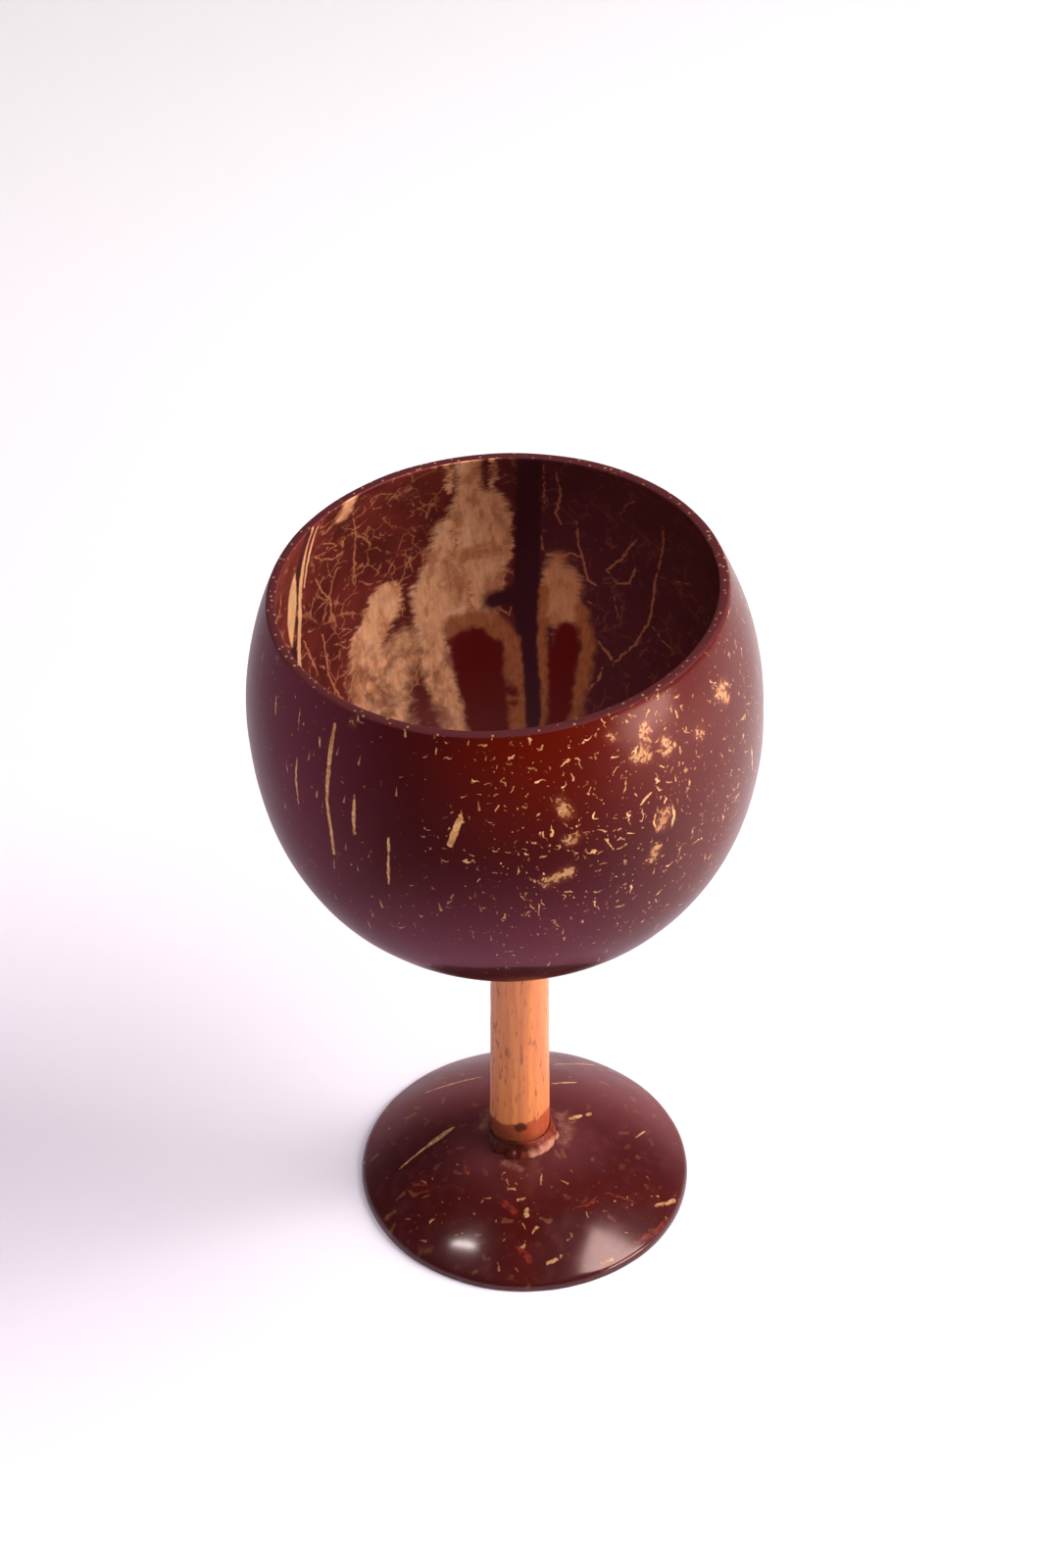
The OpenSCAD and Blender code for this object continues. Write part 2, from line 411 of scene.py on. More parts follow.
def turned(name, line, steps, turning=Matrix.Identity(4)):
    """Draws a line with extrude, spins it round the turning's Z axis and smooths the closed piece."""
    start_alone()
    places = [turning @ Vector((point.x, 0, point.y)) for point in line]
    bpy.ops.mesh.primitive_plane_add(size=MM, location=(0, 0, 0))
    piece = bpy.context.object
    piece.name = name
    piece.data.name = name
    bpy.ops.object.mode_set(mode="EDIT")
    bpy.ops.mesh.select_all(action="SELECT")
    bpy.ops.mesh.merge(type="CENTER")
    bpy.ops.transform.translate(value=places[0])
    for here, there in zip(places, places[1:]):
        bpy.ops.mesh.extrude_region_move(TRANSFORM_OT_translate={"value": there - here})
    bpy.ops.mesh.select_all(action="SELECT")
    axis = turning.to_3x3() @ Vector((0, 0, 1))
    bpy.ops.mesh.spin(steps=steps, angle=math.tau, center=turning.translation, axis=axis)
    bpy.ops.mesh.select_all(action="SELECT")
    bpy.ops.mesh.remove_doubles(threshold=MERGED)
    bpy.ops.mesh.normals_make_consistent(inside=False)
    bpy.ops.object.mode_set(mode="OBJECT")
    applied(piece, "SUBSURF", levels=SMOOTHINGS, render_levels=SMOOTHINGS)
    return piece


def applied(piece, kind, **settings):
    """Adds a modifier, sets it and applies it."""
    bpy.context.view_layer.objects.active = piece
    modifier = piece.modifiers.new(kind.title(), kind)
    for key, value in settings.items():
        setattr(modifier, key, value)
    bpy.ops.object.modifier_apply(modifier=modifier.name)


def uneven(piece, depth, size):
    """Lets the surface dip by up to this depth in soft swells of this size, and never rise."""
    swell = bpy.data.textures.new(piece.name + "_swell", "CLOUDS")
    swell.noise_scale = size
    swell.noise_depth = 1
    applied(piece, "DISPLACE", texture=swell, texture_coords="LOCAL", strength=depth, mid_level=1.0)


def finished(piece, node, slot, *materials):
    """Smooths a piece, gives it its materials and puts it in the place of its node."""
    piece.data.materials.clear()
    for material in materials:
        piece.data.materials.append(material)
    start_alone()
    piece.select_set(True)
    bpy.context.view_layer.objects.active = piece
    bpy.ops.object.shade_smooth_by_angle(angle=SMOOTH_ANGLE)
    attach(piece, "root")
    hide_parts(node)
    start_alone()


# Marks on the bowl: (degrees round from the front, millimetres above the widest ring) along each fibre,
# then its width and how far its ends thin
OUTSIDE_FIBRES = (
    (((-41, 24.5), (-41, 17.5), (-41, 9)), 0.98, 0.3),
    (((-41, 9), (-40, 2.5), (-40, -3.3)), 0.85, 0.1),
    (((-40, -3.3), (-41, -9.5)), 0.64, 0.8),
    (((-33.5, 13), (-33.7, 3.8)), 1.44, 0.9),
    (((-25, 6.5), (-25.2, 2)), 0.98, 0.7),
    (((-25.2, 3), (-26, -5.5)), 0.85, 0.6),
    (((-8.9, 12.4), (-11.1, 7)), 1.49, 0.15),
    (((-53, 24), (-52, 19)), 0.68, 0.8),
    (((-51, 26), (-51, 22)), 0.42, 0.8),
    (((-63, 21.2), (-61.5, 18)), 0.77, 0.7),
    (((-51, 15), (-51, 9), (-50, 2.8)), 0.59, 0.9),
    (((-55, 11.5), (-54, 8.5)), 0.51, 0.8),
    (((-45, 21.4), (-44, 18)), 0.68, 0.7),
    (((-46, 20.5), (-45.4, 16)), 0.34, 0.8),
    (((-44, 10.2), (-44, 7.6)), 0.47, 0.7),
    (((-14, 26.8), (-14.2, 24.4)), 0.51, 0.6),
    (((-33, 22.5), (-32, 20)), 0.38, 0.8),
    (((28.6, 15.8), (28, 14), (27, 12.2)), 0.42, 0.3),
    (((40, 14.5), (39, 14), (37.2, 12.4)), 0.42, 0.4),
    (((35, 12.5), (36, 10.4), (37.4, 10)), 0.42, 0.5),
    (((31, 9.2), (32, 10), (34, 10.8)), 0.68, 0.6),
    (((22, 4.8), (24, 1.2)), 0.51, 0.5),
    (((45, 23.6), (45.2, 21.6)), 0.64, 0.5),
    (((54, 24), (53, 22.5), (53, 20.5)), 0.38, 0.6),
    (((49, 23.2), (49, 20.8)), 0.34, 0.6),
    (((52, 10.6), (50, 9)), 0.38, 0.6),
    (((49, 0), (49, -2), (50, -4.5)), 0.34, 0.6),
    (((49, -2), (47.6, -4)), 0.3, 0.6),
    (((34.8, 6.6), (33.8, 4), (34.6, 1)), 0.51, 0.5),
    (((39, 6.2), (39.3, 3.2), (38, 0)), 0.85, 0.8),
    (((36, -1), (35, -3.4), (34.6, -4.8)), 0.47, 0.6),
    (((34, -6), (33, -10.2)), 0.68, 0.8),
    (((6.9, -7.4), (6.7, -12)), 0.59, 0.7),
    (((32.5, -13.5), (33.3, -18.8)), 0.42, 0.7),
    (((69.5, 2), (70.5, -6)), 1.02, 0.8),
    (((70.5, 11.5), (69.4, 8)), 0.51, 0.7),
    (((-160, 12), (-158, -2)), 0.77, 0.7),
    (((-120, 8), (-121, -10)), 0.68, 0.7),
    (((-95, 18), (-95.5, 9)), 1.02, 0.7),
    (((120, 10), (121, -4)), 0.77, 0.7),
    (((150, 2), (149, -12)), 0.68, 0.7),
    (((175, 20), (176, 8)), 1.1, 0.7),
)

# Marks of the same kind, with a width and how soft the edge is
OUTSIDE_GLOW = (
    (((7, 24), (50, 18)), 32, 30),
    (((165, 14), (120, 6)), 26, 25),
)
OUTSIDE_SHADE = (
    (((-24, -41), (-13, -35.2), (0, -34.4), (10, -36), (20, -40), (28, -45)), 14, 1.2),
)
OUTSIDE_PATCHES = (
    (((13.2, 14.6), (14, 12.2)), 2.8, 2.2),
    (((14, 6.4), (15.5, 6.8)), 2.5, 2.2),
    (((9, -2.4), (13.4, -0.8)), 3.1, 2.2),
    (((36, 23.6), (35.2, 20.8), (32.8, 18.8)), 2.7, 2.2),
    (((31.6, 18.9), (34.4, 18)), 2.7, 2.2),
    (((40, 19), (40.3, 17.2)), 3, 2.2),
    (((63, 19.8), (59.6, 19.8), (62, 17.2)), 2.7, 2.2),
    (((49.8, 16.4), (50.4, 15.8)), 2.4, 2.2),
    (((37, 5), (36, 2.4)), 3.1, 2.2),
    (((34, -2.4), (33, -4.4)), 2.7, 2.2),
    (((26.8, 24.4), (28, 23.7)), 1.6, 2.2),
    (((-36, 26.5), (-36, 26.2)), 1.5, 2.2),
    (((-100, 2), (-98, -3)), 3.5, 2.2),
    (((140, 12), (143, 8)), 4.5, 2.2),
    (((-150, -6), (-147, -9)), 3.5, 2.2),
)

# Marks on the inside of the bowl, in the same way
HUSK_PATCHES = (
    (((-171.5, 29), (-172, 16)), 4.6, 2.2),
    (((-166.3, 29), (-167, 19)), 1.5, 1.0),
    (((-178.6, 29), (-178, 16)), 1.5, 1.0),
    (((-174, 13), (-174, 3)), 11.5, 2.2),
    (((-179.3, 9.5), (-178.8, -1)), 4.6, 1.2),
    (((-167.4, 7), (-164.6, 0)), 8.0, 2.4),
    (((-173.5, -3.5), (-171.5, -12)), 10.0, 2.2),
    (((-165, -3), (-166, -13)), 8.5, 2.4),
    (((-163, -2), (-159.6, -7), (-159.4, -15), (-159.2, -22.5), (-160, -29.5), (-162, -40)), 6.4, 2.2),
    (((-149, -5), (-145.4, -10), (-141, -14)), 7.6, 1.6),
    (((-140.5, -17.5), (-137, -26)), 8.5, 3.0),
    (((-146, -19), (-143, -32)), 8.0, 4.5),
    (((-152, -17), (-149.5, -22)), 6.6, 4.0),
    (((-137, 29), (-135.4, 23.4)), 3.4, 1.8),
    (((167.4, -1.5), (167, -8)), 3.6, 3.0),
    (((166.6, -6.5), (167, -14)), 8.2, 2.6),
    (((120, -22), (112, -34)), 9.0, 6.0),
    (((60, -5), (66, -20)), 10.0, 6.0),
    (((-40, 2), (-46, -16)), 11.0, 6.0),
)
HUSK_BORDERS = (
    (((-165.5, -16), (-171, -15), (-176, -16.6), (-179, -20.4), (-180, -25), (-180, -31), (-181, -42)),
     4.6, 1.9),
    (((171.4, -9), (172.2, -16), (172, -25), (170.6, -33), (171, -44)), 2.4, 1.7),
    (((162, -13), (159.8, -20), (160, -25), (161, -29), (161, -42)), 3.2, 1.9),
)
BARE_WINDOWS = (
    (((-169.5, -20.6), (-170, -27), (-171, -43)), 8.2, 1.7),
    (((-174.4, -22), (-174.2, -28), (-174.6, -43)), 5.4, 1.7),
    (((-166.6, -20.6), (-166.6, -27), (-169, -43)), 3.6, 1.7),
    (((165.4, -18.6), (166, -26), (166, -43)), 5.2, 1.7),
    (((167.6, -22.4), (167.2, -30), (167.4, -43)), 4.4, 1.7),
    (((-177.6, -29.9), (-180, -30.2)), 2.3, 1.7),
    (((-177, -32.2), (-180, -32.5)), 1.3, 1.7),
)
HUSK_STAINS = (
    (((-171.4, 0.9), (-177.6, 0.6)), 2.8, 2.6),
    (((-166, -1), (-165.8, -7)), 2.6, 2.4),
    (((-168, -7), (-167.2, -10.4)), 2.4, 2.2),
    (((-168.2, 11.4), (-168, 5), (-166.4, -1.5)), 1.1, 0.9),
    (((-170, -5.6), (-170, -15.6)), 1.2, 1),
)
INSIDE_SEAMS = (
    (((171.2, 30), (174, 9), (175, -3)), 5.2, 0.9),
    (((175, -3), (176.2, -13)), 5.4, 0.9),
    (((176.2, -13), (175.6, -18)), 4.6, 1.0),
    (((175.6, -17), (175, -26), (174.2, -33), (174.4, -46)), 3.2, 0.9),
)
# Painted shadows: dark lines between the pale fibres, and a dark notch beside the husk patch
INSIDE_SHADOWS = (
    (((-119, 29), (-120, 14), (-120, 7)), 1.7, 0.6),
    (((-118, -1.6), (-117.4, -7)), 2.0, 0.7),
    (((-176, -11.4), (-180.6, -10.6)), 4.4, 2.4),
)

# Fibres and veins on the inside, with their widths and how far their ends thin
INSIDE_FIBRES = (
    (((-118, 17), (-118.6, 8), (-117.6, -1.4)), 3.5, 1.0),
    (((-121.2, 29), (-122, 15), (-122, 3.3), (-119.8, -5), (-119, -10)), 1.3, 0.4),
    (((-124, 29), (-124, 19), (-123.6, 10)), 1.0, 0.7),
    (((-112, 14), (-113, 0)), 0.9, 0.8),
)
INSIDE_VEINS = (
    (((-179.6, -5), (-178, -9.4), (-175.8, -10.4)), 0.7, 0.5),
    (((-175, -13.4), (-177, -12.5), (-179, -14.6)), 0.8, 0.4),
    (((-179.8, -15), (179.2, -10.6)), 0.7, 0.6),
    (((-139, 23), (-141, 15.5), (-141, 6.5), (-141, 2)), 0.48, 0.5),
    (((-137, 11.8), (-137, 15.6), (-140, 16.4), (-143, 13.5), (-149, 7.2)), 0.48, 0.5),
    (((-127, 19.4), (-132, 17.4), (-135, 15.4), (-131, 15)), 0.45, 0.5),
    (((-126, 17.2), (-130, 14), (-134, 12), (-138, 12.2)), 0.54, 0.5),
    (((-132, 12.4), (-133, 8)), 0.48, 0.6),
    (((-128, 10), (-130, 5.7), (-133, 2), (-133, -2), (-134, -6)), 0.54, 0.4),
    (((-133, 2), (-134, 5.3), (-135.4, 8.6), (-137, 8.4)), 0.45, 0.5),
    (((-134, -6), (-139, -8.8)), 0.38, 0.6),
    (((-153, 24.2), (-150, 20), (-146, 20.2), (-144.4, 24), (-147, 24.6), (-151, 23)), 0.45, 0.3),
    (((-151, 19.6), (-151, 16.6), (-149, 16.4), (-151, 14)), 0.35, 0.5),
    (((-156, 20.8), (-158, 16.4), (-161, 14.4), (-161, 12)), 0.42, 0.5),
    (((-147.6, 10.2), (-149, 11.4), (-152, 10.7)), 0.35, 0.5),
    (((-142, 2.4), (-145, 0), (-148, -0.3), (-150.4, 1.2), (-153, 5)), 0.48, 0.4),
    (((-148, -0.3), (-149.4, -3)), 0.38, 0.5),
    (((-153, -3.6), (-157.4, -3)), 0.45, 0.5),
    (((-155, 3.4), (-155, 0.4), (-153, -2.6), (-152, -7)), 0.45, 0.5),
    (((-157, 5.4), (-156, 2.4), (-157, -1)), 0.45, 0.5),
    (((-160, 4.6), (-159, -2)), 0.45, 0.5),
    (((-122, -2), (-124, -7.8), (-125, -13)), 0.58, 0.5),
    (((-129, -5), (-129, -10), (-128.4, -14), (-129.4, -19), (-131, -23)), 0.58, 0.4),
    (((-131, -23), (-135, -18.8), (-138, -17)), 0.48, 0.5),
    (((-133, -9.2), (-136, -11.8), (-138.4, -11.4)), 0.38, 0.5),
    (((-133, -16.2), (-137, -16.9), (-134.4, -17.2)), 0.38, 0.5),
    (((90, 10), (94, -4), (90, -18)), 0.38, 0.5),
    (((94, -4), (102, -12)), 0.32, 0.5),
    (((-80, 12), (-84, -6), (-78, -20)), 0.45, 0.5),
    (((-100, 20), (-98, 6), (-104, -8)), 0.45, 0.5),
    (((20, 8), (24, -8), (18, -22)), 0.45, 0.5),
    (((-20, 14), (-14, -2), (-22, -12)), 0.45, 0.5),
)
INSIDE_FAINT_VEINS = (
    (((136, 16), (138, 9), (141, 0.5), (142, -5.3), (143, -11), (146, -16.7), (152, -22.8), (157, -19)),
     0.64, 0.3),
    (((139.6, 0.8), (129, 3.5)), 0.48, 0.5),
    (((142, -12), (139, -13.8), (135, -15)), 0.48, 0.5),
    (((145, 9.6), (148, 6), (151, 1.6), (155, -2), (152, -4.7), (149, -3.6), (147, 0.6)), 0.58, 0.4),
    (((153, -7.6), (152, -13)), 0.45, 0.5),
    (((150, 14.2), (147, 18), (143, 21)), 0.38, 0.5),
    (((168, 26), (169, 18.8), (170, 12)), 0.45, 0.5),
    (((165, 25.4), (165, 16.5), (167, 11), (166, 8)), 0.64, 0.5),
    (((162, 10.4), (162, 3.2), (161, -1), (160, -5.4), (158, -6.4)), 0.64, 0.4),
    (((171, 6), (171, 1.4), (169, -1.6), (168, -4.6)), 0.51, 0.4),
    (((168.6, -1.6), (164, 0.6), (162, 0.2)), 0.64, 0.3),
    (((171, -4.6), (170, -7.6)), 0.51, 0.5),
    (((161, -10.4), (158, -11)), 0.51, 0.6),
    (((157, -19.4), (154, -20.7), (152, -22.6)), 0.58, 0.5),
    (((158.4, -29), (156, -27), (155, -24)), 0.58, 0.5),
)

# Marks on the foot: (degrees round from the front, millimetres from the centre) along each mark
FOOT_GLOW = (
    (((-8, 9), (-3, 21), (-1, 34)), 10, 8),
    (((32, 19), (59, 25), (68, 32)), 10, 9),
    (((-51, 27), (-32, 23)), 12, 12),
)
FOOT_SMEAR = (
    (((-100, 8.8), (-130, 9.2)), 3.0, 2.6),
    (((70, 8.8), (95, 9.2), (120, 8.8)), 2.6, 2.2),
    (((-25, 10.2), (-5, 10.6)), 1.8, 1.4),
)
FOOT_CRUMBS = (
    (((-22, 13.8), (-20.2, 12.2)), 0.85, 0.8),
    (((-12, 16), (-10.4, 15.4)), 0.85, 0.8),
    (((-9.4, 15.2), (-7.6, 15.8)), 0.61, 0.58),
    (((-4.9, 18.2), (-1, 17.8)), 0.85, 0.8),
    (((0.3, 21.6), (1.5, 20)), 1.14, 1.08),
    (((3.5, 25), (6, 24)), 0.85, 0.8),
    (((-1, 28), (0.2, 27.4)), 0.69, 0.65),
    (((8.6, 31.2), (14.8, 30.4)), 0.92, 0.87),
    (((19.5, 27.5), (21.4, 27.2)), 0.77, 0.72),
    (((26, 33.6), (33, 33.8)), 0.69, 0.65),
    (((-44.4, 28.8), (-44, 27)), 0.77, 0.72),
    (((63, 31.6), (70, 34)), 0.99, 0.94),
)
FOOT_FIBRES = (
    (((-78, 27.3), (-87, 20.2)), 0.8, 0.7),
    (((-85.5, 21), (-98.8, 15.6)), 1.9, 0.75),
    (((-128, 28), (-141, 24), (-157, 21.5)), 0.6, 0.8),
    (((166.6, 26), (151, 32.4)), 1.0, 0.7),
    (((160, 17), (147.4, 20.8)), 0.9, 0.6),
    (((112.2, 10.6), (114, 13.2)), 1.2, 0.3),
    (((113.9, 14.8), (114.8, 15.6)), 1.1, 0.2),
    (((13, 15.2), (17, 12)), 0.85, 0.7),
    (((95, 24), (102, 27)), 0.6, 0.7),
)
FOOT_RED_FIBRES = (
    (((-60.6, 14.8), (-46, 16.8)), 0.8, 0.5),
    (((-66, 26.2), (-61, 24)), 1.28, 0.4),
    (((-61, 27), (-56.6, 24.4)), 0.8, 0.4),
    (((-45.6, 20.2), (-43, 19.3)), 0.72, 0.5),
    (((-13, 19.2), (-6, 20.8)), 1.92, 0.3),
    (((-2.2, 28.4), (1.8, 30.2)), 2.08, 0.3),
    (((28, 21.8), (36, 22.6), (43.6, 22.2)), 0.72, 0.5),
    (((48, 22), (52, 24), (57, 28)), 0.64, 0.5),
    (((44.4, 33.6), (54.4, 34.4), (61, 34.4)), 1.28, 0.5),
)

# Marks on the glue at the foot: (degrees round the stem from the front, millimetres from its middle, height)
# The first row is a painted highlight on the glue's gloss; the second is pale shell dust
GLUE_PALE = (
    (((20, 8.2, 12.4), (40, 8.2, 12.8), (60, 8.2, 12.8)), 1.8, 1.6),
    (((74, 8.4, 12.0), (80, 8.4, 12.0)), 1.4, 1.2),
)
GLUE_DARK = (
    (((-120, 7.4, 13.2), (-80, 7.4, 13.2), (-40, 7.4, 13.2), (-8, 7.2, 13.4)), 5.0, 2.6),
    (((44, 8.6, 11.6), (52, 8.6, 11.6)), 1.2, 0.8),
)


def on_bowl(sizes, degrees, height, inset):
    """A place on the bowl's wall, in its own frame and in millimetres."""
    rise = height * MM
    if rise >= 0:
        radius = bowl_above(sizes, rise, inset).x
    else:
        # The share of the depth stays short of the lowest point
        share = min(-rise / (sizes.bowl_depth - inset), 0.999)
        radius = (sizes.bowl_d / 2 - inset) * (1 - share ** sizes.bowl_fullness) ** (1 / sizes.bowl_fullness)
    turn = math.radians(degrees)
    return Vector((radius * math.sin(turn), -radius * math.cos(turn), rise)) / MM


def on_foot(sizes, degrees, radius):
    """A place on the foot's dome, in millimetres."""
    line = foot_line(sizes, inset=0, points=60)
    height = min(line, key=lambda point: abs(point.x - radius * MM)).y / MM
    turn = math.radians(degrees)
    return Vector((radius * math.sin(turn), -radius * math.cos(turn), height))


def bowl_places(place, sizes):
    """Places in the bowl's own frame, and the directions out of it, round it and up it."""
    own = place.node("ShaderNodeMapping", {"vector_type": "TEXTURE"}, {
        "Vector": place,
        "Location": bowl_turning(sizes).translation / MM,
        "Rotation": (0, -sizes.bowl_lean, 0),
    })
    outward = own.vector("NORMALIZE")
    across = crossed((0, 0, 1), outward).vector("NORMALIZE")
    return own, (outward, across, outward.vector("CROSS_PRODUCT", across))


def crossed(fixed, other):
    """The cross product of a fixed direction and one that varies."""
    return other.node("ShaderNodeVectorMath", {"operation": "CROSS_PRODUCT"}, {0: fixed, 1: other})


def darker(colour, share):
    """A colour times a number."""
    return [share * part for part in colour]


# In the finishes below, places and sizes are in millimetres. The bowl's places are measured from the
# middle of its widest ring: aside is how far to the right, and height is how far up.


def shell_outside(sizes, colours):
    """Dark lacquered shell with tan flecks and fibres, thick on the right and thin on the left."""
    material, place = patterned("lacquered_shell")
    own, facing = bowl_places(place, sizes)
    aside = own.node("ShaderNodeSeparateXYZ", {}, {0: own})
    height = aside.other(2)
    mouth = sizes.mouth_rise / MM

    def wall(degrees, rise):
        return on_bowl(sizes, degrees, rise, inset=0)

    # The shell's own colour, dark and red in front and on the right, under painted reflection, painted shade
    # and a painted rosy sheen
    clouds = own.noise(14, detail=3.0)
    glow = bands(own.warped(8, size=26), OUTSIDE_GLOW, wall)
    # Painted reflection of the floor: paler towards the bottom
    low = height.fade(6, -32)
    base = (low * 0.8).mix(colours.shell_dark, colours.underside_sheen)
    # Painted reflection: plum on the left, and low down except on the right
    base = (aside.fade(-14, -46) | low * aside.fade(34, 2)).mix(base, colours.plum_sheen)
    # Painted shade and dark reflection under the bowl: a dark crescent low at the front, and the lowest part
    # darkened
    under = bands(own, OUTSIDE_SHADE, wall)
    base = (height.fade(-40, -50) | under).mix(base, darker(colours.shell_dark, 0.9))
    # Painted rosy sheen on the right, in the red shell colour
    rosy_sheen = aside.fade(18, 42) * height.fade(-48, -16) * 0.8
    base = (glow * (0.7 + clouds * 0.5) | rosy_sheen).mix(base, colours.shell_red)

    # Fine flecks, close together at the front and right
    crooked = own.warped(2.2, size=1.5, detail=1.0)
    busy = aside.fade(-20, 8) * height.fade(-42, -4)
    dense = busy * own.noise(8, detail=2.0).fade(0.22, 0.55)
    dots = flecks(crooked, facing, cell=1.4, longest=0.1, width=0.17, kept=dense * 0.55 + 0.2)
    moved = crooked.vector("ADD", (31, 7, 13))
    worms = flecks(moved, facing, cell=2.3, longest=0.8, width=0.155, kept=dense * 0.75 + 0.03)
    moved = crooked.vector("ADD", (5, 43, 19))
    bold = flecks(moved, facing, cell=4.0, longest=1.2, width=0.22, kept=dense * 0.6)
    moved = own.vector("ADD", (13, 3, 37))
    dashes = flecks(moved, facing, cell=4.0, longest=1.3, width=0.16, kept=0.4 - busy * 0.35, sway=0.4)
    specks = (dots | worms | bold) * (0.6 + busy * 0.4 - aside.fade(26, 47) * 0.45) | dashes * 0.5

    # Longer fibres with a darker core, and torn patches
    cut, core = fibres(own.warped(0.5, size=0.9), OUTSIDE_FIBRES, wall)
    core = core * own.noise(0.7, detail=2.0).fade(0.36, 0.54)
    mottle = own.warped(0.7, size=0.7).noise(0.9, detail=4.0, roughness=0.65)
    loose = bands(own.warped(1.4, size=1.6), OUTSIDE_PATCHES, wall)
    husk = (loose * 0.8 + mottle * 2.4).fade(1.8, 2.0) * loose.fade(0.02, 0.25)

    # The sanded lip with its small pale specks
    lip = height.fade(mouth - 0.55, mouth - 0.3)
    edging = height.fade(mouth - 1.6, mouth - 0.6)
    grit = own.node("ShaderNodeTexVoronoi", {}, {"Vector": own, "Scale": 1 / 1.3})
    lip_specks = grit.fade(0.26, 0.12) * lip

    tint = own.noise(1.3, detail=2.0).fade(0.3, 0.7).mix(colours.fleck_tan, colours.fleck_pale)
    shown = lip.mix(base, colours.lip_brown)
    shown = (specks * (1 - lip)).mix(shown, tint)
    shown = (loose * 0.22).mix(shown, colours.patch_brown)
    shown = (husk * (0.2 + mottle * 0.62)).mix(shown, tint)
    shown = (cut * (0.6 + mottle * 0.5)).mix(shown, tint)
    shown = (core * 0.8).mix(shown, colours.patch_brown)
    shown = (lip_specks * 0.4).mix(shown, colours.fleck_pale)

    pits = specks | husk | cut
    roughness = 0.27 + pits * 0.14 + lip * 0.12 + clouds * 0.05
    coat = aside.fade(8, 38) * height.fade(-46, 4) * (0.37 - edging * 0.37)
    surfaced(place, shown, roughness, height=own.noise(0.7, detail=2.0), depth=0.004 * MM,
             IOR=1.1, Coat_Weight=coat, Coat_Roughness=0.24, Coat_IOR=COAT_IOR)
    return material


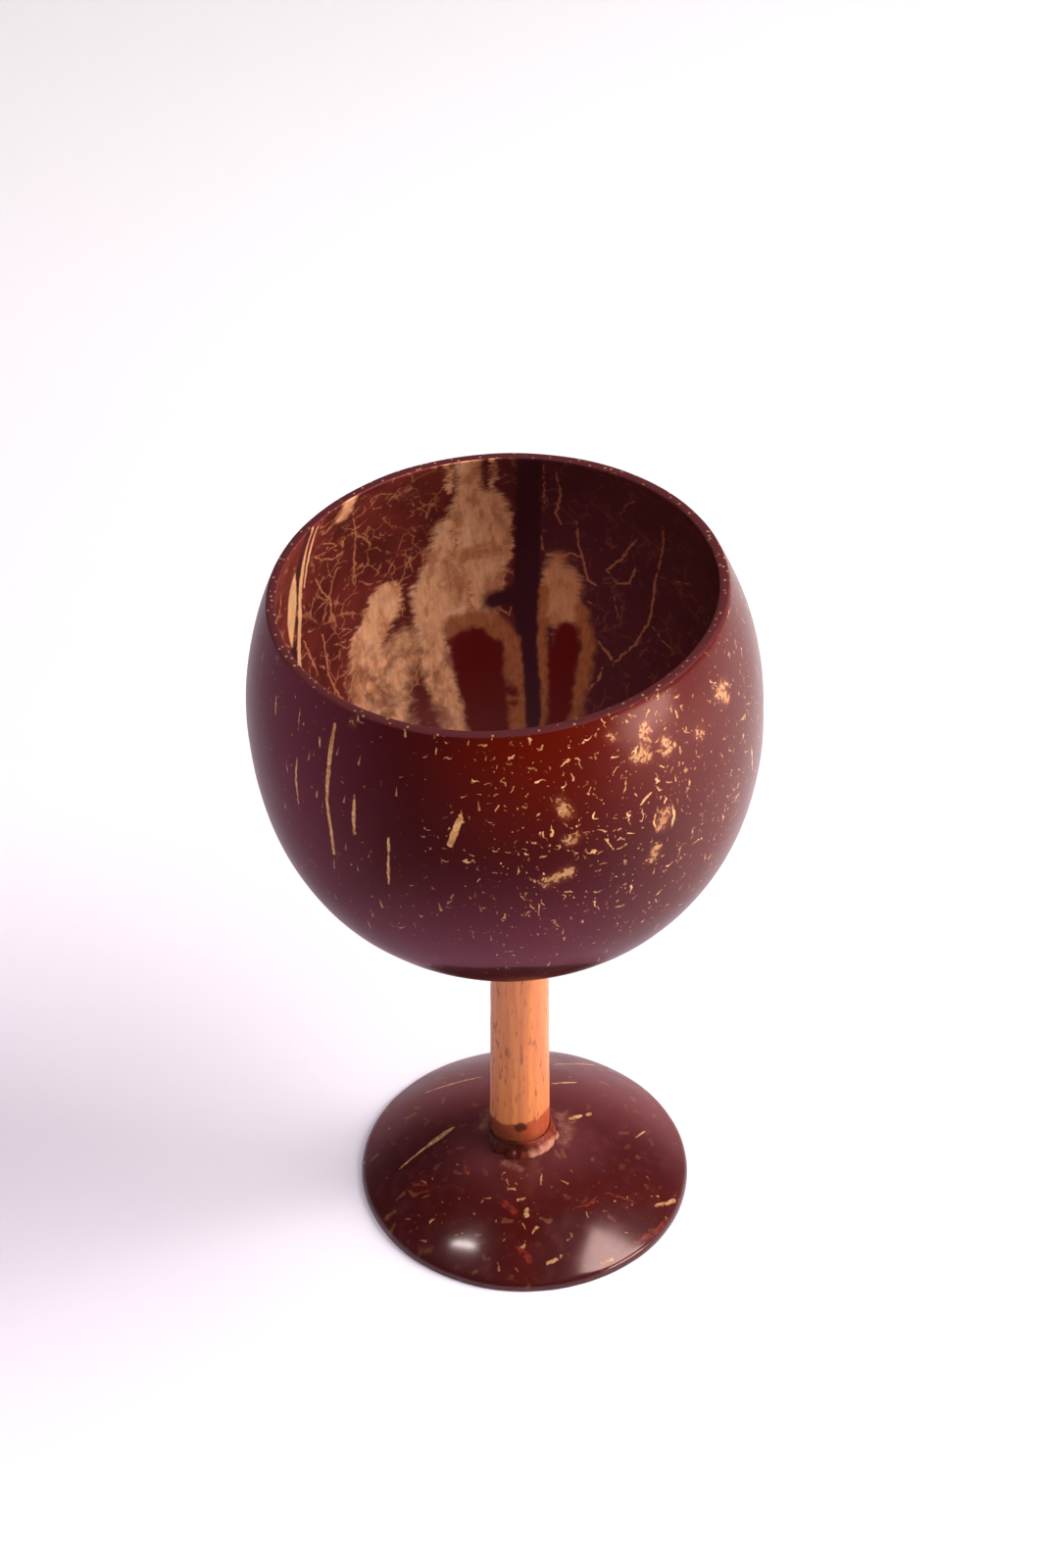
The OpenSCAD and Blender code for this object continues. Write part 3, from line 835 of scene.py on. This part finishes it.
def shell_inside(sizes, colours):
    """Red shell with tan veins, torn patches of husk, bare windows in tan borders and a dark seam."""
    material, place = patterned("inside_shell")
    own, facing = bowl_places(place, sizes)
    aside = own.node("ShaderNodeSeparateXYZ", {}, {0: own})
    height = aside.other(2)

    def wall(degrees, rise):
        return on_bowl(sizes, degrees, rise, inset=sizes.bowl_wall)

    # Upright strands, and places pushed about for torn edges
    strands = own.vector("MULTIPLY", (1, 1, 0.2)).noise(0.7, detail=3.0, roughness=0.6)
    flat = own.vector("MULTIPLY", (0.45, 0.45, 1.6)).warped(0.5, size=1.0)
    barbs = flat.noise(1.3, detail=3.0, roughness=0.6, out=1).vector("SUBTRACT", HALF)
    torn = own.warped(2.2, size=3.4, detail=4.0).vector("ADD", barbs.scaled(4.0))
    edge = own.warped(2.6, size=2.0, detail=4.0)
    bent = own.warped(1.3, size=1.6, detail=2.0)

    # Red shell, with painted shade that darkens it on the right
    clouds = own.noise(9, detail=4.0)
    right = aside.fade(-8, 12)
    left = 1 - right
    base = clouds.fade(0.3, 0.7).mix(colours.inside_red, darker(colours.inside_red, 0.5))
    base = (right * 0.85).mix(base, colours.inside_shade)

    # Small sprigs and thin veins
    dots = flecks(bent, facing, cell=1.9, longest=0.5, width=0.2, kept=0.5)
    moved = bent.vector("ADD", (3, 23, 7))
    worms = flecks(moved, facing, cell=3.0, longest=1.1, width=0.2, kept=own.noise(9).fade(0.36, 0.56))
    patchy = own.noise(5.0, detail=2.0).fade(0.44, 0.6)
    net = veins(own.warped(3.2, size=3.0), cell=4.2, width=0.22, kept=patchy)
    sprigs = (dots | worms | net) * (left * 0.7 + 0.22)
    drawn, _ = fibres(bent, INSIDE_VEINS, wall)
    faint, _ = fibres(bent, INSIDE_FAINT_VEINS, wall)

    # Husk, thin and swirled at the lower left, with its borders, windows, stains and seam
    husk = bands(torn, HUSK_PATCHES, wall)
    swirls = own.warped(9, size=6, detail=2.0).noise(4.2, detail=2.0, roughness=0.5)
    low_left = (height + aside * 0.2).fade(-14, -26) * aside.fade(-8, -16)
    husk = husk * (1 - low_left * swirls.fade(0.62, 0.32) * 0.7)
    border = bands(edge, HUSK_BORDERS, wall)
    window = bands(edge, BARE_WINDOWS, wall)
    stain = bands(torn, HUSK_STAINS, wall)
    seam = bands(bent, INSIDE_SEAMS, wall)
    # Painted shadows between the pale fibres and beside the husk
    shadow_lines = bands(bent, INSIDE_SHADOWS, wall)
    pale, _ = fibres(own.warped(0.5, size=1.0), INSIDE_FIBRES, wall)

    # Colours of the husk and of its borders
    squat = own.vector("MULTIPLY", (1, 1, 0.55)).warped(3, size=4, detail=2.0)
    brushed = squat.noise(3.2, detail=3.0, roughness=0.6)
    blotches = own.vector("MULTIPLY", (1, 1, 1.7)).noise(5.0, detail=4.0, roughness=0.6)
    tan = strands.fade(0.28, 0.7).mix(darker(colours.husk_tan, 0.78), colours.husk_tan)
    tan = (brushed.fade(0.52, 0.36) * 0.6).mix(tan, colours.border_brown)
    tan = (brushed.fade(0.54, 0.72) * 0.5).mix(tan, colours.husk_pale)
    # Painted shade: the husk darker on the right
    tan = (right * 0.6).mix(tan, colours.border_brown)
    tan = (blotches.fade(0.48, 0.74) * 0.25).mix(tan, colours.border_brown)
    rust = strands.fade(0.3, 0.7).mix(darker(colours.border_brown, 0.7), colours.border_brown)
    straw = strands.fade(0.35, 0.65).mix(colours.husk_tan, colours.fleck_pale)

    shown = (sprigs * 0.72).mix(base, colours.vein_tan)
    shown = (faint * (right * 0.35 + 0.2)).mix(shown, colours.vein_tan)
    shown = (drawn * 0.72).mix(shown, colours.vein_tan)
    shown = husk.mix(shown, tan)
    shown = (stain * strands.fade(0.2, 0.65) * 0.85).mix(shown, colours.border_brown)
    shown = (border * 0.92).mix(shown, rust)
    shown = window.mix(shown, colours.window_red)
    shown = shadow_lines.mix(shown, colours.ridge_black)
    shown = pale.mix(shown, straw)
    shown = seam.mix(shown, colours.ridge_black)

    raised = husk | border | pale
    roughness = 0.42 + raised * 0.16 + clouds * 0.06
    surfaced(place, shown, roughness, height=strands, depth=0.03 * MM,
             IOR=1.42, Specular_Tint=colours.sheen_rose)
    return material


def stem_wood(sizes, colours):
    """Satin wood with straight grain and short dark pores, stained by the glue at its lower end."""
    material, place = patterned("satin_dowel")
    own = place.vector("SUBTRACT", (sizes.stem_x / MM, 0, 0))
    aside = own.node("ShaderNodeSeparateXYZ", {}, {0: own})
    height = aside.other(2)

    along = own.vector("MULTIPLY", (1, 1, 0.05))
    grain = along.warped(0.8, size=3.0).noise(1.5, detail=4.0, roughness=0.62)
    streaks = along.noise(3.6, detail=2.0)
    hair = along.noise(0.35, detail=2.0)
    short = own.warped(0.5, size=1.5).vector("MULTIPLY", (1, 1, 0.2))
    pores = short.noise(0.75, detail=2.0).fade(0.57, 0.68) * own.noise(6.0).fade(0.36, 0.58)

    base = grain.fade(0.32, 0.68).mix(colours.wood_deep, colours.wood_light)
    base = (streaks.fade(0.45, 0.72) * 0.35).mix(base, colours.wood_deep)
    base = (hair.fade(0.55, 0.8) * 0.3).mix(base, colours.wood_deep)
    shown = (pores * 0.7).mix(base, colours.wood_pore)

    # The glue's film on the lower end, darker towards the ground, and one dark drop at the front
    soaked = (height - aside * 0.16 + own.noise(2.8, detail=3.0, roughness=0.6) * 6.0).fade(23.6, 22.4)
    depth = aside * 0.5 + height + own.noise(1.8, detail=3.0) * 4.0
    film = depth.fade(16.5, 22.0).mix(darker(colours.glue_red, 0.5), colours.wood_stain)
    drop = (own.vector("DISTANCE", (0.2, -6.4, 19.4), out=1) + own.noise(1.2) * 1.4).fade(2.4, 1.7)
    shown = (soaked * 0.88).mix(shown, film)
    shown = (drop * 0.95).mix(shown, darker(colours.glue_red, 0.28))

    roughness = 0.38 + pores * 0.2 + grain * 0.08 - soaked * 0.08
    surfaced(place, shown, roughness, height=1 - pores * 0.8 + hair * 0.25, depth=0.05 * MM, IOR=1.45)
    return material


def foot_finish(sizes, colours):
    """Dark lacquered shell with a few long tan fibres and a mottled red band down the front."""
    material, place = patterned("polished_foot")
    level = place.vector("MULTIPLY", (1, 1, 0))
    round_out = level.vector("NORMALIZE")
    across = crossed((0, 0, 1), round_out)
    facing = (across.vector("CROSS_PRODUCT", round_out).scaled(-1), across, round_out)
    back = place.node("ShaderNodeSeparateXYZ", {}, {0: place}, 1)

    def dome(degrees, radius):
        return on_foot(sizes, degrees, radius)

    # The shell's own colour, red down the front, with painted light that makes it paler round the stem and a
    # painted sheen at the back
    clouds = place.noise(9, detail=4.0)
    glow = bands(place.warped(6, size=9), FOOT_GLOW, dome)
    # Painted light round the stem, and a painted sheen at the back
    near = level.vector("LENGTH", out=1).fade(23, 8)
    base = (near * 0.6 | back.fade(-6, 20)).mix(colours.shell_foot, colours.foot_plum)
    base = (place.noise(3.0, detail=3.0).fade(0.45, 0.75) * 0.25).mix(base, colours.foot_plum)
    base = (glow * (0.15 + clouds * 0.7)).mix(base, darker(colours.shell_red, 0.7))

    # Flecks, crumbs, fibres and the smear of glue round the stem
    crooked = place.warped(0.9, size=1.0)
    torn = place.warped(1.6, size=1.5, detail=4.0)
    dots = flecks(crooked, facing, cell=2.0, longest=0.2, width=0.2, kept=glow * 0.4 + 0.12)
    moved = crooked.vector("ADD", (9, 27, 4))
    worms = flecks(moved, facing, cell=3.4, longest=0.8, width=0.2, kept=glow * 0.5 + 0.06)
    moved = torn.vector("ADD", (41, 3, 8))
    smudges = flecks(moved, facing, cell=3.2, longest=0.9, width=0.6, kept=0.55)
    mottle = place.noise(1.2, detail=3.0, roughness=0.65)
    crumbs = (bands(torn, FOOT_CRUMBS, dome) * 1.2 + mottle * 1.4).fade(1.3, 1.7)
    smear = bands(torn, FOOT_SMEAR, dome)
    cut, core = fibres(place.warped(0.4, size=0.9), FOOT_FIBRES, dome)
    core = core * place.noise(0.8, detail=2.0).fade(0.4, 0.62)
    red, _ = fibres(torn, FOOT_RED_FIBRES, dome)

    tint = mottle.fade(0.35, 0.65).mix(colours.fleck_tan, colours.fleck_pale)
    shown = (smudges * mottle * 0.3).mix(base, colours.fleck_tan)
    shown = ((dots | worms) * 0.55).mix(shown, colours.fleck_tan)
    shown = (smear * mottle.fade(0.3, 0.65) * 0.25).mix(shown, colours.glue_pale)
    shown = (red * mottle.fade(0.3, 0.7) * 0.55).mix(shown, colours.fibre_red)
    shown = (crumbs * 0.5).mix(shown, tint)
    shown = (cut * (0.35 + mottle * 0.6)).mix(shown, tint)
    shown = (core * 0.6).mix(shown, colours.patch_brown)

    pits = dots | worms | cut | crumbs | smear
    roughness = 0.1 + pits * 0.14 + clouds * 0.16
    coat = back.fade(16, -10) * (0.5 - pits * 0.3)
    surfaced(place, shown, roughness, height=place.noise(0.8), depth=0.004 * MM, IOR=1.3,
             Specular_Tint=colours.sheen_rose, Coat_Weight=coat, Coat_Roughness=0.14, Coat_IOR=COAT_IOR)
    return material


def glue_mass(sizes, colours):
    """Glossy red-brown glue, dark on the left, with pale shell dust and a painted highlight towards the
    front.
    """
    material, place = patterned("red_glue")

    def joint(degrees, out, height):
        turn = math.radians(degrees)
        return Vector((sizes.stem_x / MM + out * math.sin(turn), -out * math.cos(turn), height))

    torn = place.warped(1.2, size=1.4, detail=3.0)
    clouds = place.warped(2.0, size=2.5).noise(2.6, detail=3.0, roughness=0.6)
    dust = place.noise(1.1, detail=3.0, roughness=0.65)
    pale = bands(torn, GLUE_PALE, joint)
    dark = bands(torn, GLUE_DARK, joint)
    base = clouds.fade(0.3, 0.72).mix(darker(colours.glue_red, 0.45), colours.glue_red)
    base = (dark * 0.85).mix(base, darker(colours.glue_red, 0.16))
    shown = (clouds.fade(0.58, 0.8) * dust.fade(0.4, 0.62) * 0.5).mix(base, colours.glue_pale)
    # Pale shell dust, and a painted highlight at the right front
    shown = (pale * (0.45 + dust * 0.7)).mix(shown, colours.glue_pale)
    surfaced(place, shown, 0.2 + dust * 0.12, height=dust + clouds * 0.5, depth=0.03 * MM, IOR=1.22)
    return material


class GOBLET_OT_stage(bpy.types.Operator):
    """Lays the pale floor and sets the soft light and the camera"""

    bl_idname = "goblet.stage"
    bl_label = "Stage"

    # The floor's side in metres, and the millimetres from the middle between which its faint glow sets in
    floor_side = 40.0
    glow_from, glow_to = 650, 1500

    # The room's walls to the left, behind and to the right, and the dark above and in front
    wall_left = (0.95, 0.58, 0.70)
    wall_back = (1.0, 0.78, 0.83)
    wall_right = (2.0, 0.95, 0.93)
    room_dark = (0.05, 0.04, 0.05)

    # The camera, which looks down at the angle of the photograph
    camera_place = (-1.24 * MM, -547.7 * MM, 579.4 * MM)
    camera_tilt = math.radians(49.38)
    camera_lens = 84.26
    camera_sensor = 36.0
    camera_nearest = 0.01

    def execute(self, context):
        self.lay_floor(context)
        self.light_room(context.scene)
        self.set_lamps()
        self.set_camera(context)
        start_alone()
        return {"FINISHED"}

    def lay_floor(self, context):
        """A wide floor with painted light that makes it whiter to the right and the back, and a faint painted
        glow where no lamp reaches it.
        """
        colours = context.scene.goblet_colours
        start_alone()
        bpy.ops.mesh.primitive_plane_add(size=self.floor_side, location=(0, 0, 0))
        floor = context.object
        floor.name = "floor"
        material, place = patterned("pale_paper")
        cloudy = place.noise(180, detail=2.0)
        aside = place.node("ShaderNodeSeparateXYZ", {}, {0: place})
        # Painted light: whiter to the right and the back
        lit = (aside * 0.6 + aside.other(1) + cloudy * 30).fade(-200, 400)
        far = place.vector("LENGTH", out=1).fade(self.glow_from, self.glow_to)
        base = lit.mix(colours.floor_pale, colours.floor_white)
        surfaced(place, base, 0.75 + cloudy * 0.1, height=place.noise(0.6), depth=0.01 * MM,
                 Emission_Color=far.mix((0, 0, 0), colours.floor_pale), Emission_Strength=1.0)
        floor.data.materials.append(material)

    def light_room(self, scene):
        """A dark room with pale walls near the ground, behind and at the sides."""
        scene.view_settings.view_transform = "Standard"
        world = bpy.data.worlds.new("soft_room")
        scene.world = world
        world.use_nodes = True
        tree = world.node_tree
        tree.nodes.clear()
        sky = Wire(tree, tree.nodes.new("ShaderNodeTexCoord").outputs["Generated"])
        aside = sky.node("ShaderNodeSeparateXYZ", {}, {0: sky})
        round_back = (aside.other(1) + aside.math("ABSOLUTE") * 0.7).fade(-0.3, 0.7)
        near_ground = aside.other(2).fade(0.5, 0.04)
        wall = aside.fade(-0.7, 0.1).mix(self.wall_left, self.wall_back)
        wall = aside.fade(0.3, 0.9).mix(wall, self.wall_right)
        tint = (round_back * near_ground).mix(self.room_dark, wall)
        shader = sky.node("ShaderNodeBackground", {}, {"Color": tint, "Strength": 1.0})
        sky.node("ShaderNodeOutputWorld", {}, {"Surface": shader})

    def set_lamps(self):
        """A window at the right, a narrow lamp at the left, a low lamp at the right, and soft fills."""
        window = (0.48, 0.40)
        warm = (1.0, 0.97, 0.95)
        self.lamp("window_light", place=(0.61, -0.07, 0.75), size=window, power=6.4, tint=warm,
                  mirrored=False)
        self.lamp("window_glint", place=(0.60, -0.22, 0.75), size=window, power=9.0, tint=(1.0, 0.82, 0.76),
                  lights=False, along=(0.12, 0.38, 0))
        self.lamp("strip_light", place=(-0.40, -0.147, 0.915), size=(0.03, 0.15), power=1.1,
                  tint=(1.0, 0.98, 0.96), aim=(0, 0, 0), along=(0.25, -0.12, 0.09))
        self.lamp("low_light", place=(0.88, -0.48, 0.17), size=(0.40, 0.40), power=3.0,
                  tint=(1.0, 0.95, 0.86), mirrored=False)
        self.lamp("low_glint", place=(0.90, -0.46, 0.18), size=(0.45, 0.15), power=7.5,
                  tint=(1.0, 0.66, 0.56), aim=(0.03, -0.03, 0.155), lights=False)
        self.lamp("right_fill", place=(0.95, 0.05, 0.45), size=(0.50, 0.50), power=8.0, tint=warm,
                  mirrored=False)
        self.lamp("front_fill", place=(0.10, -0.80, 1.00), size=(0.80, 0.80), power=6.0,
                  tint=(1.0, 0.96, 0.98), mirrored=False)
        self.lamp("top_fill", place=(0.60, 1.20, 2.10), size=(3.00, 3.00), power=19.0,
                  tint=(0.95, 0.96, 1.0), aim=(0.2, 0.5, 0), mirrored=False)

    def lamp(self, name, place, size, power, tint, aim=(0, 0, 0.08), mirrored=True, lights=True,
             along=(0, 0, 1)):
        """A soft oblong lamp that looks at a point, its second side along a direction.

        One that isn't mirrored shows in no polish. One that doesn't light shows in the polish alone."""
        bpy.ops.object.light_add(type="AREA", location=place)
        lamp = bpy.context.object
        lamp.name = name
        back = (Vector(place) - Vector(aim)).normalized()
        side = Vector(along).cross(back).normalized()
        lamp.rotation_euler = Matrix((side, back.cross(side), back)).transposed().to_euler()
        lamp.visible_glossy = mirrored
        lamp.visible_diffuse = lights
        lamp.data.shape = "RECTANGLE"
        lamp.data.size, lamp.data.size_y = size
        lamp.data.energy = power
        lamp.data.color = tint

    def set_camera(self, context):
        """The camera at the photograph's viewing angle."""
        bpy.ops.object.camera_add(location=self.camera_place, rotation=(self.camera_tilt, 0, 0))
        camera = context.object
        camera.name = "camera"
        camera.data.sensor_fit = "VERTICAL"
        camera.data.sensor_height = self.camera_sensor
        camera.data.lens = self.camera_lens
        camera.data.clip_start = self.camera_nearest
        camera.data.dof.use_dof = False
        context.scene.camera = camera


class GOBLET_OT_bowl(bpy.types.Operator):
    """Turns the bowl from its section and gives its outside and inside their finishes"""

    bl_idname = "goblet.bowl"
    bl_label = "Bowl"

    # Size of the soft swells in the shell
    swell_size = 16 * MM

    def execute(self, context):
        sizes = context.scene.goblet_sizes
        colours = context.scene.goblet_colours
        turning = bowl_turning(sizes)
        ease = sizes.lip_round
        top = sizes.mouth_rise - ease
        outer = bowl_line(sizes, inset=0, low_points=20, high_points=9, top=top)
        inner = bowl_line(sizes, inset=sizes.bowl_wall, low_points=18, high_points=8, top=top)
        lip = rounded(Vector((outer[-1].x - ease, top)), ease, 0, 90, points=2)[1:]
        lip += rounded(Vector((inner[-1].x + ease, top)), ease, 90, 180, points=2)[:-1]
        line = outer + lip + inner[::-1] + outer[:1]
        piece = turned("coconut_bowl", line, sizes.steps, turning)
        uneven(piece, depth=sizes.swell, size=self.swell_size)
        finished(piece, "bowl", "bowl_shell", shell_outside(sizes, colours), shell_inside(sizes, colours))
        self.line_inside(context, piece, turning.translation)
        return {"FINISHED"}

    def line_inside(self, context, piece, middle):
        """Gives the faces that look towards the middle the second material."""
        piece.select_set(True)
        context.view_layer.objects.active = piece
        context.tool_settings.mesh_select_mode = (False, False, True)
        bpy.ops.object.mode_set(mode="EDIT")
        bpy.ops.mesh.select_all(action="DESELECT")
        bpy.ops.object.mode_set(mode="OBJECT")
        for face in piece.data.polygons:
            face.select = face.normal.dot(face.center - middle) < 0
        bpy.ops.object.mode_set(mode="EDIT")
        piece.active_material_index = 1
        bpy.ops.object.material_slot_assign()
        bpy.ops.object.mode_set(mode="OBJECT")
        context.tool_settings.mesh_select_mode = (True, False, False)
        start_alone()


class GOBLET_OT_stem(bpy.types.Operator):
    """Turns the stem with its eased shoulders and two tenons"""

    bl_idname = "goblet.stem"
    bl_label = "Stem"

    # Bevel on its edges, rows along the shaft, steps round it, and depth and size of its unevenness
    ease = 0.3 * MM
    rows = 12
    steps = 32
    dip = 0.18 * MM
    dip_size = 7 * MM

    def execute(self, context):
        sizes = context.scene.goblet_sizes
        ease = self.ease
        low, high = stem_low.z, stem_high.z
        foot_z, top_z = sizes.stem_foot_z, sizes.stem_top_z
        foot_r, top_r = sizes.stem_d_foot / 2, sizes.stem_d_top / 2
        shaft = []
        for share in shares(self.rows):
            height = foot_z + ease + share * (top_z - foot_z - 2 * ease)
            shaft.append(Vector((foot_r + (top_r - foot_r) * share, height)))
        tenon_r = sizes.tenon_r
        line = [
            Vector((0, low)), Vector((tenon_r - ease, low)), Vector((tenon_r, low + ease)),
            Vector((tenon_r, foot_z)), Vector((foot_r - ease, foot_z)),
            *shaft,
            Vector((top_r - ease, top_z)), Vector((tenon_r, top_z)),
            Vector((tenon_r, high - ease)), Vector((tenon_r - ease, high)), Vector((0, high)),
        ]
        piece = turned("wooden_stem", line, self.steps, Matrix.Translation((sizes.stem_x, 0, 0)))
        uneven(piece, depth=self.dip, size=self.dip_size)
        finished(piece, "stem", "stem_wood", stem_wood(sizes, context.scene.goblet_colours))
        return {"FINISHED"}


class GOBLET_OT_foot(bpy.types.Operator):
    """Turns the hollow domed foot and bores it for the stem"""

    bl_idname = "goblet.foot"
    bl_label = "Foot"

    # Steps round it, rounding of the ring that it stands on, and size of the soft swells in the shell
    steps = 64
    ring_round = 0.3 * MM
    swell_size = 12 * MM

    def execute(self, context):
        sizes = context.scene.goblet_sizes
        outer = foot_line(sizes, inset=0, points=14)
        inner = foot_line(sizes, inset=sizes.foot_wall, points=12)
        eased = Vector((self.ring_round, 0))
        line = [outer[0] - eased] + outer + inner[::-1] + [inner[0] + eased, outer[0] - eased]
        piece = turned("domed_foot", line, self.steps)
        uneven(piece, depth=sizes.swell, size=self.swell_size)
        start_alone()
        bpy.ops.mesh.primitive_cylinder_add(vertices=self.steps, radius=sizes.bore_r, depth=3 * sizes.foot_h,
                                            location=(sizes.stem_x, 0, sizes.foot_h))
        drill = context.object
        applied(piece, "BOOLEAN", operation="DIFFERENCE", object=drill, solver="EXACT")
        bpy.data.objects.remove(drill)
        finished(piece, "foot", "foot_shell", foot_finish(sizes, context.scene.goblet_colours))
        return {"FINISHED"}


class GOBLET_OT_glue(bpy.types.Operator):
    """Models the bead at the foot, the fillet under the bowl, the seal in it and the pad under the foot"""

    bl_idname = "goblet.glue"
    bl_label = "Glue"

    # Section of the bead at the foot, in millimetres from the stem's middle and above the ground
    collar = ((5.4, 12.0), (7.9, 11.5), (7.8, 12.0), (7.4, 12.6), (7.1, 13.3), (6.9, 14.2), (6.8, 15.0),
              (6.6, 15.6), (5.4, 15.6), (5.4, 12.0))

    # How far the bead lies off the stem's middle
    off_middle = (0.4 * MM, -0.3 * MM, 0)

    # Lumps in the bead: degrees round from the front, and millimetres out, up, and across
    lumps = ((20, 6.9, 12.2, 3.2), (32, 6.9, 12.6, 3.5), (44, 6.9, 12.7, 3.6), (56, 6.9, 12.6, 3.4),
             (78, 7.1, 12.0, 3.0), (-14, 7.2, 11.8, 3.0), (3, 7.0, 11.8, 3.0), (-38, 6.8, 12.0, 3.0))

    # Steps round the bead, and how finely and how often the lumps are melted into it
    bead_steps = 48
    grain = 0.16 * MM
    melts = 36

    # Steps round the other three
    steps = 32

    # The fillet: how far it spreads from the stem, where it starts above the stem's upper shoulder, how far
    # it falls from there, how hollow its face is, and how far it reaches into the bowl's underside
    spread = 3.0 * MM
    rise = 0.9 * MM
    fall = 3.2 * MM
    hollow = 1.7
    bite = 0.05 * MM

    # The seal over the bowl's floor and the pad below the foot's roof: their radii, and for each face, in
    # millimetres, how high its middle lies and how far it bends from there to the edge
    seal_r = 9.0 * MM
    seal_faces = ((1.62, -1.15), (0.1, 0.25))
    pad_r = 7.6 * MM
    pad_faces = ((-1.58, 1.4), (-0.06, -0.1))

    def execute(self, context):
        sizes = context.scene.goblet_sizes
        material = glue_mass(sizes, context.scene.goblet_colours)
        axis = Matrix.Translation((sizes.stem_x, 0, 0))

        bead = self.bead(context, sizes, axis)
        finished(bead, "foot_glue_bead", "glue", material)

        fillet = self.fillet(sizes, axis)
        uneven(fillet, depth=0.3 * MM, size=2.0 * MM)
        finished(fillet, "bowl_glue_bead", "glue", material)

        floor_z = sizes.bowl_base + sizes.bowl_wall
        seal = self.lens("bowl_seal", axis, self.seal_r, floor_z, self.seal_faces)
        uneven(seal, depth=0.15 * MM, size=4.0 * MM)
        finished(seal, "tenon_seal", "glue", material)

        roof_z = sizes.foot_h - sizes.foot_wall
        pad = self.lens("under_foot_glue", axis, self.pad_r, roof_z, self.pad_faces)
        uneven(pad, depth=0.15 * MM, size=3.0 * MM)
        finished(pad, "tenon_glue_pad", "glue", material)
        return {"FINISHED"}

    def bead(self, context, sizes, axis):
        """The lumpy collar round the stem's lower end."""
        section = [Vector(point) * MM for point in self.collar]
        bead = turned("foot_joint_glue", section, self.bead_steps, axis @ Matrix.Translation(self.off_middle))
        uneven(bead, depth=0.5 * MM, size=3.0 * MM)
        for degrees, out, height, across in self.lumps:
            turn = math.radians(degrees)
            away = out * MM
            place = (sizes.stem_x + away * math.sin(turn), -away * math.cos(turn), height * MM)
            start_alone()
            bpy.ops.mesh.primitive_ico_sphere_add(subdivisions=4, radius=across / 2 * MM, location=place)
            bead.select_set(True)
            context.view_layer.objects.active = bead
            bpy.ops.object.join()
        applied(bead, "REMESH", mode="VOXEL", voxel_size=self.grain)
        applied(bead, "SMOOTH", factor=0.5, iterations=self.melts)
        return bead

    def fillet(self, sizes, axis):
        """The glue in the corner between the stem's upper end and the bowl."""
        top_r = sizes.stem_d_top / 2
        middle_z = sizes.bowl_base + sizes.bowl_depth + self.bite
        under = bowl_line(sizes, inset=0, low_points=40, high_points=1, top=0)
        hug = [Vector((point.x, point.y + middle_z)) for point in under if point.x < top_r + self.spread]
        if len(hug) < 2:
            raise RuntimeError("the bowl's line is too coarse for the fillet under it")
        start_z = sizes.stem_top_z + self.rise
        face = [Vector((top_r + self.spread * (1 - share) ** self.hollow, start_z - self.fall * share))
                for share in shares(5)[1:]]
        line = hug + face + [Vector((sizes.tenon_r, face[-1].y)), hug[0]]
        return turned("bowl_joint_glue", line, self.steps, axis)

    def lens(self, name, axis, reach, level, faces):
        """A lens round the stem's axis, drawn out along its first face and back along its second."""
        line = []
        for (height, bend), steps in zip(faces, (shares(8), shares(4)[::-1])):
            line += [Vector((reach * share, level + height * MM + bend * MM * share ** 2)) for share in steps]
        return turned(name, line, self.steps, axis)


class GOBLET_PT_panel(bpy.types.Panel):
    """Lists the goblet's pieces, sizes and colours"""

    bl_idname = "GOBLET_PT_panel"
    bl_label = "Goblet"
    bl_space_type = "VIEW_3D"
    bl_region_type = "UI"
    bl_category = "Goblet"

    def draw(self, context):
        for step in STEPS:
            self.layout.operator(step.bl_idname)
        for group in (context.scene.goblet_sizes, context.scene.goblet_colours):
            for name in group.__annotations__:
                self.layout.prop(group, name)


STEPS = (GOBLET_OT_stage, GOBLET_OT_bowl, GOBLET_OT_stem, GOBLET_OT_foot, GOBLET_OT_glue)
CLASSES = (GobletSizes, GobletColours, *STEPS, GOBLET_PT_panel)


def register():
    for each in CLASSES:
        bpy.utils.register_class(each)
    bpy.types.Scene.goblet_sizes = PointerProperty(type=GobletSizes)
    bpy.types.Scene.goblet_colours = PointerProperty(type=GobletColours)


def unregister():
    del bpy.types.Scene.goblet_colours
    del bpy.types.Scene.goblet_sizes
    for each in reversed(CLASSES):
        bpy.utils.unregister_class(each)


def main():
    register()
    bpy.ops.goblet.stage()
    bpy.ops.goblet.bowl()
    bpy.ops.goblet.stem()
    bpy.ops.goblet.foot()
    bpy.ops.goblet.glue()


if __name__ == "__main__":
    main()
